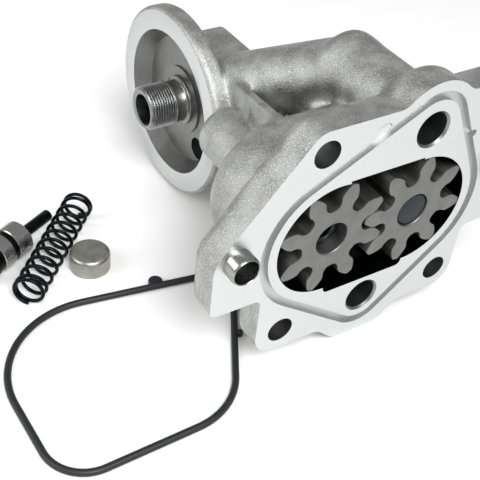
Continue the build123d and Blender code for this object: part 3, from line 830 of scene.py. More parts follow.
    def skin(self) -> Shape:
        """Draw the surface where the field is zero, with one corner in each cell that it crosses.

        Returns:
            The closed shape.
        """
        f = self.field
        inside = f < 0
        size = np.array(f.shape) - 1
        total = np.zeros(size)
        place = np.zeros((*size, 3))
        for axis in range(3):
            first = [slice(None)] * 3
            second = [slice(None)] * 3
            first[axis], second[axis] = slice(0, -1), slice(1, None)
            a, b = f[tuple(first)], f[tuple(second)]
            cross = inside[tuple(first)] != inside[tuple(second)]
            share = np.where(cross, a / np.where(cross, a - b, 1), 0)
            others = [other for other in range(3) if other != axis]
            for step_u in (0, 1):
                for step_v in (0, 1):
                    cut = [slice(None)] * 3
                    cut[others[0]] = slice(step_u, step_u + size[others[0]])
                    cut[others[1]] = slice(step_v, step_v + size[others[1]])
                    hit = cross[tuple(cut)]
                    total += hit
                    place[..., axis] += np.where(hit, share[tuple(cut)], 0)
                    place[..., others[0]] += hit * step_u
                    place[..., others[1]] += hit * step_v
        used = total > 0
        number = np.full(size, -1)
        number[used] = np.arange(used.sum())
        cells = np.argwhere(used)
        corners = (cells + place[used] / total[used][:, None]) * self.pitch + np.array(self.low)
        faces = []
        for axis in range(3):
            first = [slice(1, -1)] * 3
            second = [slice(1, -1)] * 3
            first[axis], second[axis] = slice(0, -1), slice(1, None)
            start, end = inside[tuple(first)], inside[tuple(second)]
            others = [(axis + 1) % 3, (axis + 2) % 3]
            for leaving in (True, False):
                at = np.argwhere((start != end) & (start == leaving))
                at[:, others] += 1
                ring = []
                for step_u, step_v in ((0, 0), (1, 0), (1, 1), (0, 1)):
                    cell = at.copy()
                    cell[:, others[0]] -= 1 - step_u
                    cell[:, others[1]] -= 1 - step_v
                    ring.append(number[tuple(cell.T)])
                quads = np.stack(ring, 1)
                faces.append(quads if leaving else quads[:, ::-1])
        shape = Shape()
        shape.points = [tuple(p) for p in corners.tolist()]
        shape.faces = [tuple(q) for q in np.concatenate(faces).tolist()]
        return shape


def drilled(start: Vector, end: Vector, radius: float) -> Shape:
    """Tool of a straight drilled passage.

    Args:
        start: First point of its axis.
        end: Last point of its axis.
        radius: Radius of the drill.

    Returns:
        The closed shape.
    """
    way = end - start
    place = Matrix.Translation(start) @ way.to_track_quat("Z", "Y").to_matrix().to_4x4()
    return turned(bar(radius, 0.0, way.length), place, 48, Skin.BORED.value)


@dataclass
class Housing:
    """One-piece pump housing: the casting, then what is milled, bored and drilled in it.

    A fillet is the soft hollow where two forms meet, and an edge is the rounding of a form's own
    edges. A space is a block, from its lowest to its highest corner, that is milled away.
    """

    gear_centres: float = 46.0
    chamber_radius: float = 29.05
    chamber_depth: float = 40.0
    pocket_top: float = 30.0
    pocket_sides: Flat = (4.5, 44.875)
    pocket_bottom: float = -32.5
    pocket_corner: float = 3.0
    casing_radius: float = 35.45
    casing_end: float = 55.0
    casing_shoulder: float = 14.0
    boss_radius: float = 14.5
    boss_start: float = 20.0
    boss_end: float = 94.0
    boss_edge: float = 4.5
    boss_fillet: float = 1.8
    flange_thickness: float = 19.0
    flange_edge: float = 7.5
    flange_top: float = 59.5
    flange_bottom: float = -57.8
    top_ends: Flat = (-15.9, 93.0)
    top_corners: Flat = (9.0, 12.0)
    ear_ends: Flat = (-60.7, 110.2)
    ear_heights: Flat = (-21.7, 7.3)
    ear_corners: Flat = (3.5, 15.0)
    foot_sides: Flat = (-34.7, 82.6)
    foot_corner: float = 11.5
    lobe_slope: float = 42.0
    lobe_corner: float = 8.0
    delivery_port: Flat = (45.5, 44.3)
    delivery_end: float = 57.8
    delivery_lobe: float = 23.7
    suction_port: Flat = (25.3, -44.3)
    suction_end: float = 36.0
    suction_lobe: float = 24.5
    suction_lobe_end: float = 50.0
    port_radius: float = 8.2
    port_chamfer: float = 1.0
    tube_radius: float = 15.8
    tube_end: float = 67.0
    tube_edge: float = 6.0
    pipe_radius: float = 14.6
    pipe_start: float = 0.3
    pipe_bore: float = 7.0
    pipe_bore_inset: float = 9.5
    pipe_widening: float = 3.9
    pipe_side: tuple[Flat, ...] = ((-15.1, 0.0), (9.5, 100.0), (9.5, 200.0), (200.0, 200.0), (200.0, 0.0))
    pipe_side_edge: float = 2.5
    pipe_fillet: float = 4.0
    filter_axis: Flat = (145.6, -14.2)
    ring_plane: float = -1.4
    ring_inner: float = 39.4
    rim_radius: float = 51.5
    rim_back: float = 8.8
    rim_edge: float = 2.6
    rim_fillet: float = 3.0
    rim_stock: float = 0.2
    recess_floor: float = 7.5
    recess_floor_radius: float = 34.3
    pad_radius: float = 18.5
    pad_height: float = 1.0
    nipple_radius: float = 12.0
    nipple_seat: float = 11.4
    head_low: Point = (6.8, 123.4, -44.7)
    head_high: Point = (41.6, 162.7, 16.3)
    head_edge: float = 4.0
    head_fillet: float = 3.5
    return_start: Point = (27.0, 39.0, 21.0)
    return_bend: Point = (15.0, 126.7, -35.0)
    return_radius: float = 6.2
    return_wall: float = 4.8
    arm_left: tuple[Flat, ...] = ((-4.0, 45.0), (9.5, 100.0), (9.5, 126.0))
    arm_right: tuple[Flat, ...] = ((41.6, 126.0), (45.5, 57.8), (45.5, 45.0))
    arm_tops: tuple[Flat, Flat] = ((45.0, 14.0), (124.4, -8.0))
    arm_bottom: float = -32.0
    arm_edge: float = 2.0
    web_tops: tuple[Flat, Flat] = ((45.5, 35.5), (118.0, 16.0))
    web_thickness: float = 4.5
    web_edge: float = 1.2
    web_fillet: float = 2.5
    relief_axis: Flat = (43.7, 68.6)
    relief_radius: float = 9.0
    relief_barrel: float = 14.0
    relief_edge: float = 2.0
    relief_mouth: float = -52.0
    relief_top: float = 20.0
    relief_cap: float = 5.0
    relief_stock: float = 2.0
    relief_web_rise: float = 14.0
    plug_radius: float = 10.35
    plug_depth: float = 10.5
    plug_facing: float = 16.5
    groove_width: float = 4.2
    groove_depth: float = 3.0
    bolt_radius: float = 6.6
    bolt_reach: Flat = (-12.0, 33.0)
    spot_radius: float = 10.5
    spot_depth: float = 0.8
    bolts: tuple[Flat, ...] = ((-11.4, 48.3), (84.0, 45.5), (-21.3, -46.1), (71.3, -45.1))
    dowels: tuple[Flat, ...] = ((-49.5, 6.2), (98.9, 6.2))
    dowel_radius: float = 7.0
    dowel_depth: float = 7.5
    dowel_bore: float = 5.9
    passage_depths: Flat = (13.0, 34.0)
    passage_overlap: float = 4.0
    lead: float = 1.0
    face_space: tuple[Point, Point] = ((-90.0, -40.0, -90.0), (140.0, 0.0, 100.0))
    ring_space: tuple[Point, Point] = ((-60.0, 94.05, -80.0), (ring_plane, 210.0, 60.0))
    ground_space: tuple[Point, Point] = ((-60.0, -20.0, -90.0), (100.0, 60.0, GROUND))
    groove: Belt = Belt(
        ((0.0, 0.0, 35.65), (45.5, 44.3, 16.7), (46.0, 0.0, 35.9), (25.3, -44.3, 14.95)))

    def lobe(self, centre: Flat, radius: float, level: float, side: int) -> list[tuple[float, float, float]]:
        """Corners that carry the outline round a port's lobe.

        Args:
            centre: Middle of the lobe.
            radius: Its radius.
            level: Height of the outline beside it.
            side: 1 for a lobe above the outline and -1 for one below it.

        Returns:
            The corners (x, z, radius), in the outline's order.
        """
        slope = math.radians(self.lobe_slope)
        apex = centre[1] + side * radius / math.cos(slope)
        run = abs(apex - level) / math.tan(slope)
        corners = [
            (centre[0] - run, level, self.lobe_corner),
            (centre[0], apex, radius),
            (centre[0] + run, level, self.lobe_corner),
        ]
        return corners if side > 0 else corners[::-1]

    def flange_outline(self) -> list[Flat]:
        """Outline of the mounting face.

        Returns:
            Its points, clockwise from the left ear.
        """
        left, right = self.ear_ends
        low, high = self.ear_heights
        foot_left, foot_right = self.foot_sides
        sharp, soft = self.ear_corners
        corners = [
            (left, low, sharp), (left, high, soft),
            (self.top_ends[0], self.flange_top, self.top_corners[0]),
            *self.lobe(self.delivery_port, self.delivery_lobe, self.flange_top, 1),
            (self.top_ends[1], self.flange_top, self.top_corners[1]),
            (right, high, soft), (right, low, sharp),
            (foot_right, low, sharp), (foot_right, self.flange_bottom, self.foot_corner),
            *self.lobe(self.suction_port, self.suction_lobe, self.flange_bottom, -1),
            (foot_left, self.flange_bottom, self.foot_corner), (foot_left, low, sharp),
        ]
        return rounded_outline(corners, math.radians(8))

    def casting(self) -> Shape:
        """Raw casting with machining allowance on its faces.

        Returns:
            The closed skin of all its forms.
        """
        form = CastForm()
        spare = form.spare
        flange = form.outline_distance(self.flange_outline())
        form.add(form.carried(flange, form.y, spare, self.flange_thickness, self.flange_edge))
        casing = form.stadium((0.0, 0.0), (self.gear_centres, 0.0), self.casing_radius)
        form.add(form.carried(casing, form.y, spare, self.casing_end, self.casing_shoulder))
        boss = form.barrel(
            Side.ALONG_Y, (0.0, 0.0), self.boss_radius, self.boss_start, self.boss_end, self.boss_edge)
        form.add(boss, self.boss_fillet)
        form.add(form.barrel(
            Side.ALONG_Y, self.suction_port, self.suction_lobe, spare, self.suction_lobe_end, self.tube_edge))
        arm = [*self.arm_left, *self.arm_right]
        form.add(form.sloping(arm, self.arm_bottom, self.arm_tops, self.arm_edge))
        form.add(self.web(form), self.web_fillet)
        wall = self.return_radius + self.return_wall
        form.add(form.span_distance(self.return_start, self.return_bend) - wall)
        form.add(form.barrel(
            Side.ALONG_Y, self.delivery_port, self.tube_radius, spare, self.tube_end, self.tube_edge))
        form.add(self.pipe(form), self.pipe_fillet)
        form.add(form.cased(self.head_low, self.head_high, self.head_edge), self.head_fillet)
        front = self.ring_plane - self.rim_stock
        rim = form.barrel(
            Side.ALONG_X, self.filter_axis, self.rim_radius, front, self.rim_back, self.rim_edge)
        form.add(rim, self.rim_fillet)
        x, y = self.relief_axis
        wide, edge = self.relief_barrel, self.relief_edge
        foot, top = self.relief_mouth - self.relief_stock, self.relief_top + self.relief_cap
        form.add(form.barrel(Side.UPRIGHT, self.relief_axis, wide, foot, top, edge))
        low = (x - wide, self.flange_thickness, self.relief_mouth + self.relief_web_rise)
        form.add(form.cased(low, (x + wide, y, top), edge))
        return form.skin()

    def pipe(self, form: CastForm) -> np.ndarray:
        """Distance to the cross pipe, whose flank is cut off flush with the arm's side.

        Args:
            form: Casting that it is for.

        Returns:
            The distance at each sample.
        """
        start, end = self.pipe_line()
        whole = form.span_distance(start, end, widening=self.pipe_widening) - self.pipe_radius
        side = form.outline_distance(self.pipe_side, in_plan=True)
        return form.shared(whole, side, self.pipe_side_edge)

    def web(self, form: CastForm) -> np.ndarray:
        """Distance to the low web along the left edge of the arm's floor."""
        inner = [(x + self.web_thickness, y) for x, y in reversed(self.arm_left)]
        return form.sloping([*self.arm_left, *inner], self.arm_bottom, self.web_tops, self.web_edge)

    def pipe_line(self) -> tuple[Point, Point]:
        """Axis of the cross pipe, from behind the filter flange to the delivery tube.

        Returns:
            Its two ends.
        """
        head = Vector((self.recess_floor, *self.filter_axis))
        end = self.delivery_floor()
        return tuple(head.lerp(end, self.pipe_start)), tuple(end)

    def delivery_floor(self) -> Vector:
        """Middle of the delivery port's floor."""
        return Vector((self.delivery_port[0], self.delivery_end, self.delivery_port[1]))

    def chamber_outline(self) -> list[Flat]:
        """Outline of the gear chamber with its two pockets.

        Returns:
            Its points, anticlockwise from the top of the left bore.
        """
        radius, corner, far = self.chamber_radius, self.pocket_corner, self.gear_centres
        left, right = self.pocket_sides
        top_left = math.asin(left / radius)
        top_right = math.asin((far - right) / radius)
        level = self.pocket_bottom + corner
        made = arc((0.0, 0.0), radius, math.pi / 2 - top_left, 1.5 * math.pi, 60)
        made += arc((corner, level), corner, math.pi, 1.5 * math.pi, 6)
        made += arc((far - corner, level), corner, 1.5 * math.pi, 2 * math.pi, 6)
        made += arc((far, 0.0), radius, -math.pi / 2, math.pi / 2 + top_right, 60)
        return made + [(right, self.pocket_top), (left, self.pocket_top)]

    def face_tools(self) -> list[Shape]:
        """What is milled and drilled from the mounting face.

        Returns:
            The tools, in the order of the work.
        """
        bored, cast, grooved = Skin.BORED.value, Skin.CAST.value, Skin.GROOVE.value
        lead, radius = self.lead, self.port_radius
        start, end = self.bolt_reach
        seat = self.flange_thickness - self.spot_depth
        hole = [(start, 0.0), (start, self.bolt_radius), (seat, self.bolt_radius),
                (seat, self.spot_radius), (end, self.spot_radius), (end, 0.0)]
        tools = [block(*self.face_space, Skin.MILLED.value)]
        for x, z in self.bolts:
            tools.append(turned(hole, Side.ALONG_Y.frame((x, 0.0, z)), 64, [bored, bored, cast, cast, cast]))
        back = self.flange_thickness + lead
        socket = [(-lead, 0.0), (-lead, self.dowel_radius), (self.dowel_depth, self.dowel_radius),
                  (self.dowel_depth, self.dowel_bore), (back, self.dowel_bore), (back, 0.0)]
        tools += [turned(socket, Side.ALONG_Y.frame((x, 0.0, z)), 64, bored) for x, z in self.dowels]
        for (x, z), floor in (
                (self.delivery_port, self.delivery_end), (self.suction_port, self.suction_end)):
            port = [(-lead, 0.0), (-lead, radius + lead + self.port_chamfer),
                    (self.port_chamfer, radius), (floor, radius), (floor, 0.0)]
            tools.append(turned(port, Side.ALONG_Y.frame((x, 0.0, z)), 80, bored))
        tools.append(prism(self.chamber_outline(), -lead, self.chamber_depth, Skin.CHAMBER.value))
        tools.append(self.groove_tool())
        for (x, z), tab in self.groove.tab_circles():
            place = Side.ALONG_Y.frame((x, 0.0, z))
            tools.append(turned(bar(tab, -lead, self.groove_depth), place, 40, grooved))
        return tools

    def groove_tool(self) -> Shape:
        """Ring-shaped tool of the seal groove.

        Returns:
            The closed shape.
        """
        half = self.groove_width / 2
        outer, inner = self.groove.line(half), self.groove.line(-half)
        front, floor = -self.lead, self.groove_depth
        count = len(outer)
        shape = Shape()
        for line, depth in ((outer, front), (outer, floor), (inner, floor), (inner, front)):
            shape.points += [(x, depth, z) for x, z in line]
        for loop in range(4):
            low, high = loop * count, ((loop + 1) % 4) * count
            for step in range(count):
                after = (step + 1) % count
                shape.faces.append((low + step, low + after, high + after, high + step))
                shape.slots.append(Skin.GROOVE.value)
        return shape

    def inner_tools(self) -> list[Shape]:
        """Filter seat, passages, relief bore and ground pad.

        Returns:
            The tools, in the order of the work.
        """
        milled, bored = Skin.MILLED.value, Skin.BORED.value
        return [
            block(*self.ring_space, milled),
            block(*self.ground_space, milled),
            self.recess_tool(),
            *self.passage_tools(),
            self.relief_tool(),
            block(
                (self.suction_port[0] - self.port_radius, self.passage_depths[0], self.suction_port[1]),
                (self.suction_port[0] + self.port_radius, self.passage_depths[1],
                 self.pocket_bottom + self.passage_overlap), bored),
        ]

    def recess_tool(self) -> Shape:
        """Tool of the filter head's recess with the pad and the seat of the nipple.

        Returns:
            The closed shape.
        """
        face, floor = self.ring_plane, self.recess_floor
        flare = (self.ring_inner - self.recess_floor_radius) / (floor - face)
        pad, end = floor - self.pad_height, floor + self.nipple_seat
        profile = [
            (face - self.lead, 0.0), (face - self.lead, self.ring_inner + flare * self.lead),
            (floor, self.recess_floor_radius), (floor, self.pad_radius), (pad, self.pad_radius),
            (pad, self.nipple_radius), (end, self.nipple_radius), (end, 0.0)]
        slots = [Skin.RECESS.value] * 5 + [Skin.BORED.value] * 2
        return turned(profile, Side.ALONG_X.frame((0.0, *self.filter_axis)), 128, slots)

    def passage_tools(self) -> list[Shape]:
        """Drilled passages between the chamber, the filter and the delivery port.

        Returns:
            The way in through the recess floor, the return passage and the cross pipe's bore.
        """
        floor = self.recess_floor
        bend = Vector(self.return_bend)
        opening = bar(self.return_radius, floor - self.lead, bend.x)
        head = Vector((floor + self.pipe_bore_inset, *self.filter_axis))
        return [
            turned(opening, Side.ALONG_X.frame((0.0, bend.y, bend.z)), 48, Skin.BORED.value),
            drilled(Vector(self.return_start), bend, self.return_radius),
            drilled(head, self.delivery_floor(), self.pipe_bore),
        ]

    def relief_tool(self) -> Shape:
        """Tool of the relief bore with the cup plug's seat and the facing round its mouth.

        Returns:
            The closed shape.
        """
        mouth, top = self.relief_mouth, self.relief_top
        start, seat = mouth - 2 * self.relief_stock, mouth + self.plug_depth
        profile = [
            (start, 0.0), (start, self.plug_facing), (mouth, self.plug_facing), (mouth, self.plug_radius),
            (seat, self.plug_radius), (seat, self.relief_radius), (top, self.relief_radius), (top, 0.0)]
        slots = [Skin.MILLED.value] * 2 + [Skin.BORED.value] * 5
        return turned(profile, Side.UPRIGHT.frame((*self.relief_axis, 0.0)), 64, slots)

    def build(self) -> bpy.types.Object:
        """Cast the housing, machine it and dress it.

        Returns:
            The finished piece.
        """
        # The chamber wall's finish is near-black painted shade.
        finishes = [
            CAST_ALUMINIUM, MILLED_ALUMINIUM, BORED_ALUMINIUM,
            # The recess's finish is darkened as painted shade in the bowl.
            CHAMBER_PAINTED_SHADE, GROOVED_ALUMINIUM, RECESS_PAINTED_SHADE,
        ]
        rough = self.casting().mesh("raw_casting", [finish.material() for finish in finishes])
        made = carved(rough, self.face_tools() + self.inner_tools())
        return piece("housing_casting", made, "housing", ["pump_housing"])


@dataclass
class FilterNipple:
    """Hollow threaded nipple on which the filter spins.

    A flank is the share of a turn, from the thread's root, in which its side rises.
    """

    axis: Flat = (145.6, -14.2)
    tip: float = -16.8
    base: float = 6.5
    seat: float = 18.9
    radius: float = 12.0
    bore: float = 9.0
    bore_edge: float = 0.5
    tip_edge: float = 1.2
    tip_flat: float = 0.8
    collar_radius: float = 13.5
    collar_thickness: float = 1.5
    collar_edge: float = 0.2
    thread_pitch: float = 1.5
    thread_depth: float = 1.0
    thread_flank: Flat = (0.12, 0.88)
    thread_start: float = 0.2
    thread_steps: int = 133
    neck: float = 6.6
    neck_depth: float = 0.8
    neck_edge: float = 0.4

    @property
    def collar_front(self) -> float:
        """Station of the collar's front."""
        return self.base - self.collar_thickness

    @property
    def neck_front(self) -> float:
        """Station where the thread ends at the neck."""
        return self.collar_front - self.neck

    def wave(self, station: float, share: float) -> float:
        """Change of the radius by the thread.

        Args:
            station: Place along the axis.
            share: Share of the turn round the axis.

        Returns:
            Minus the thread's depth there.
        """
        end = self.neck_front
        if station > end or station < self.tip + self.thread_start:
            return 0.0
        root, crest = self.thread_flank
        phase = (station / self.thread_pitch + share) % 1.0
        tooth = min(1.0, max(0.0, (abs(phase - 0.5) * 2 - root) / (crest - root)))
        fade = min(1.0, (end - station) / self.thread_pitch)
        return -self.thread_depth * (1 - tooth) * fade

    def build(self) -> bpy.types.Object:
        """Turn the nipple with its thread.

        Returns:
            The finished piece.
        """
        tip, front, neck_front = self.tip, self.collar_front, self.neck_front
        nose = self.radius - self.tip_edge
        edge = self.bore_edge
        profile: list[Flat] = [(tip + edge, self.bore), (tip, self.bore + edge), (tip, nose)]
        for station in np.linspace(tip + self.tip_flat, neck_front, self.thread_steps + 1).tolist():
            profile.append((station, min(self.radius, nose + station - tip)))
        waist = self.radius - self.neck_depth
        profile += [
            (neck_front + self.neck_edge, waist), (front - self.neck_edge, waist),
            (front, self.radius - self.neck_edge),
            (front, self.collar_radius - self.collar_edge), (front + self.collar_edge, self.collar_radius),
            (self.base, self.collar_radius), (self.base, self.radius),
            (self.seat, self.radius), (self.seat, self.bore)]
        shape = turned(profile, Side.ALONG_X.frame((0.0, *self.axis)), 120, wave=self.wave)
        made = shape.mesh("filter_nipple_turned", [THREADED_STEEL.material()])
        return piece("threaded_nipple", made, "housing", ["filter_nipple"], sharp=50.0)


@dataclass
class ReliefSet:
    """Relief valve spool, spring and cup plug as they lie beside the pump.

    The groove and the stem are a width or radius with a depth or length. The stem's end has steps
    (back, inward), its foot is a run and a rise, and the dish in the end land is given by the
    widths of its lip and floor from the edge, and its depth.
    """

    land_radius: float = 8.96
    lands: tuple[float, ...] = (9.4, 7.5, 8.0)
    groove: Flat = (3.0, 0.8)
    stem: Flat = (3.1, 22.0)
    stem_end: tuple[Flat, ...] = ((0.0, 0.8), (0.3, 0.25), (0.9, 0.0))
    stem_foot: Flat = (0.6, 0.5)
    dish: tuple[float, float, float] = (3.0, 3.6, 1.0)
    edge: float = 0.5
    spool_place: tuple[float, float, float] = (-95.6, 126.4, 27.0)
    spring_radius: float = 8.1
    wire_radius: float = 0.95
    spring_length: float = 74.0
    spring_turns: float = 12.0
    steps_per_turn: int = 56
    closed_turns: float = 1.25
    closed_pitch: float = 2.1
    spring_place: tuple[float, float, float] = (-108.5, 86.1, 46.0)
    cup_radius: float = 10.35
    cup_height: float = 10.3
    cup_wall: float = 1.5
    cup_round: float = 2.2
    cup_edge: float = 0.25
    cup_place: Flat = (-69.6, 99.0)

    def lying(self, place: tuple[float, float, float], radius: float, turn: float) -> Matrix:
        """Placement of a round piece on its side, in millimetres.

        Args:
            place: Point (x, y) of its near end and its heading in degrees.
            radius: Radius on which it lies.
            turn: Turn that lays the piece's own +Z along or against the heading, in degrees.

        Returns:
            The placement matrix.
        """
        x, y, heading = place
        lifted = Matrix.Translation(Vector((x, y, GROUND + radius)))
        headed = Matrix.Rotation(math.radians(heading), 4, "Z")
        return lifted @ headed @ Matrix.Rotation(math.radians(turn), 4, "Y")

    def build_spool(self) -> bpy.types.Object:
        """Turn the spool with bright lands and black grooves and stem.

        Returns:
            The finished piece.
        """
        radius, edge = self.land_radius, self.edge
        stem_radius, stem_length = self.stem
        width, depth = self.groove
        foot_run, foot_rise = self.stem_foot
        profile: list[Flat] = [(-stem_length, 0.0)]
        profile += [(back - stem_length, stem_radius - inward) for back, inward in self.stem_end]
        profile += [(-foot_run, stem_radius), (0.0, stem_radius + foot_rise)]
        slots = [1] * len(profile)
        reach = 0.0
        for index, land in enumerate(self.lands):
            profile += [
                (reach, radius - edge), (reach + edge, radius),
                (reach + land - edge, radius), (reach + land, radius - edge)]
            slots += [0, 0, 0]
            reach += land
            if index < len(self.lands) - 1:
                profile += [(reach, radius - depth), (reach + width, radius - depth)]
                slots += [1, 1, 1, 1]
                reach += width
        lip, floor, depth = self.dish
        profile += [(reach, radius - lip), (reach - depth, radius - floor), (reach - depth, 0.0)]
        slots += [0, 0, 0]
        shape = turned(profile, self.lying(self.spool_place, radius, -90.0), 96, slots)
        made = shape.mesh("relief_spool_turned", [BRIGHT_STEEL.material(), BLACK_OXIDE.material()])
        return piece("valve_spool", made, "housing", ["relief_spool"])

    def spring_tree(self, finish: bpy.types.Material) -> bpy.types.NodeTree:
        """Geometry nodes that wind the spring from its sizes.

        Args:
            finish: Material of the wire.

        Returns:
            The node tree.
        """
        tree, given = started_tree("wind_spring", (
            "Turns", "Closed Turns", "Closed Pitch", "Coil Radius", "Wire Radius", "Length"))
        line = add_node(tree, "GeometryNodeCurvePrimitiveLine")
        points = add_node(tree, "GeometryNodeResampleCurve", {
            "Curve": line.outputs["Curve"], "Count": round(self.spring_turns * self.steps_per_turn)})
        share = add_node(tree, "GeometryNodeSplineParameter").outputs["Factor"]
        known = {socket.name: socket for socket in given} | {"share": share}
        # Each row names a result, how it is made and what it is made from.
        for name, operation, *sources in (
                ("turn", "MULTIPLY", "share", "Turns"),
                ("both ends", "MULTIPLY", "Closed Turns", 2.0),
                ("free turns", "SUBTRACT", "Turns", "both ends"),
                ("closed length", "MULTIPLY", "both ends", "Closed Pitch"),
                ("free length", "SUBTRACT", "Length", "closed length"),
                ("pitch", "DIVIDE", "free length", "free turns"),
                ("past", "SUBTRACT", "turn", "Closed Turns"),
                ("past start", "MAXIMUM", "past", 0.0),
                ("in free", "MINIMUM", "past start", "free turns"),
                ("past free", "SUBTRACT", "past", "free turns"),
                ("in last", "MAXIMUM", "past free", 0.0),
                ("in first", "MINIMUM", "turn", "Closed Turns"),
                ("in closed", "ADD", "in first", "in last"),
                ("tight rise", "MULTIPLY", "in closed", "Closed Pitch"),
                ("free rise", "MULTIPLY", "in free", "pitch"),
                ("height", "ADD", "tight rise", "free rise"),
                ("angle", "MULTIPLY", "turn", 2 * math.pi),
                ("cosine", "COSINE", "angle"),
                ("sine", "SINE", "angle"),
                ("across", "MULTIPLY", "cosine", "Coil Radius"),
                ("aside", "MULTIPLY", "sine", "Coil Radius")):
            inputs = {index: known.get(source, source) for index, source in enumerate(sources)}
            known[name] = add_node(tree, "ShaderNodeMath", inputs, operation=operation).outputs[0]
        spot = add_node(tree, "ShaderNodeCombineXYZ", {
            "X": known["across"], "Y": known["aside"], "Z": known["height"]})
        wound = add_node(tree, "GeometryNodeSetPosition", {
            "Geometry": points.outputs["Curve"], "Position": spot.outputs["Vector"]})
        end_tree(tree, wound.outputs["Geometry"], given["Wire Radius"], 14, finish)
        return tree

    def build_spring(self) -> bpy.types.Object:
        """Wind the spring and lay it on its side.

        Returns:
            The finished piece.
        """
        tree = self.spring_tree(BLACK_OXIDE.material())
        sizes = {
            "Turns": self.spring_turns,
            "Closed Turns": self.closed_turns,
            "Closed Pitch": self.closed_pitch * MM,
            "Coil Radius": (self.spring_radius - self.wire_radius) * MM,
            "Wire Radius": self.wire_radius * MM,
            "Length": (self.spring_length - 2 * self.wire_radius) * MM,
        }
        made = grown(tree, sizes)
        place = self.lying(self.spring_place, self.spring_radius, 90.0)
        place = place @ Matrix.Translation(Vector((0.0, 0.0, self.wire_radius)))
        place.translation *= MM
        made.transform(place)
        return piece("valve_spring", made, "housing", ["relief_spring"], sharp=60.0)

    def build_cup(self) -> bpy.types.Object:
        """Press the cup plug and stand it on its rim.

        Returns:
            The finished piece.
        """
        radius, height, wall = self.cup_radius, self.cup_height, self.cup_wall
        corner, edge = self.cup_round, self.cup_edge
        outer = [(height - corner + corner * math.sin(t), radius - corner + corner * math.cos(t))
                 for t in np.linspace(0, math.pi / 2, 9)]
        bend = corner - wall
        top = height - wall
        inner = [(top - bend + bend * math.sin(t), radius - wall - bend + bend * math.cos(t))
                 for t in np.linspace(math.pi / 2, 0, 7)]
        profile: list[Flat] = [
            (height, 0.0), *outer[::-1], (edge, radius), (0.0, radius - edge),
            (0.0, radius - wall + edge), (edge, radius - wall), *inner[::-1], (top, 0.0)]
        x, y = self.cup_place
        shape = turned(profile, Side.UPRIGHT.frame((x, y, GROUND)), 96)
        made = shape.mesh("relief_cup_pressed", [PRESSED_STEEL.material()])
        return piece("valve_cup_plug", made, "housing", ["relief_cup_plug"], sharp=40.0)


def started_tree(name: str, sizes: Sequence[str]) -> tuple[bpy.types.NodeTree, bpy.types.NodeOutputs]:
    """Start geometry nodes that work on a mesh with named sizes.

    Args:
        name: Name of the tree.
        sizes: Names of the numbers that it takes.

    Returns:
        The tree and the sockets of what it is given.
    """
    tree = bpy.data.node_groups.new(name, "GeometryNodeTree")
    tree.interface.new_socket("Geometry", in_out="INPUT", socket_type="NodeSocketGeometry")
    for size in sizes:
        tree.interface.new_socket(size, in_out="INPUT", socket_type="NodeSocketFloat")
    tree.interface.new_socket("Geometry", in_out="OUTPUT", socket_type="NodeSocketGeometry")
    return tree, add_node(tree, "NodeGroupInput").outputs


def end_tree(
    tree: bpy.types.NodeTree,
    line: bpy.types.NodeSocket,
    radius: bpy.types.NodeSocket,
    steps: int,
    finish: bpy.types.Material,
) -> None:
    """End geometry nodes with a round section along their line, in one material.

    Args:
        tree: Node tree to end.
        line: Curve that the section follows.
        radius: Radius of the section.
        steps: Number of points round the section.
        finish: Material of the piece.
    """
    section = add_node(tree, "GeometryNodeCurvePrimitiveCircle", {"Resolution": steps, "Radius": radius})
    solid = add_node(tree, "GeometryNodeCurveToMesh", {
        "Curve": line, "Profile Curve": section.outputs["Curve"], "Fill Caps": True})
    real = add_node(tree, "GeometryNodeRealizeInstances", {"Geometry": solid.outputs["Mesh"]})
    dressed = add_node(tree, "GeometryNodeSetMaterial", {
        "Geometry": real.outputs["Geometry"], "Material": finish})
    add_node(tree, "NodeGroupOutput", {"Geometry": dressed.outputs["Geometry"]})


def grown(
    tree: bpy.types.NodeTree, sizes: dict[str, float], base: bpy.types.Mesh | None = None,
) -> bpy.types.Mesh:
    """Run geometry nodes with their named sizes and keep the plain mesh.

    Args:
        tree: Node tree of the modifier.
        sizes: Value of each named input.
        base: Mesh that the tree works on, where it needs one.

    Returns:
        The realised mesh, with its faces turned outwards.
    """
    work = linked("working", base or bpy.data.meshes.new("seed"))
    step = work.modifiers.new("grow", "NODES")
    step.node_group = tree
    for item in tree.interface.items_tree:
        if item.in_out == "INPUT" and item.name in sizes:
            step[item.identifier] = sizes[item.name]
    made = applied(work)
    outward(made)
    return made


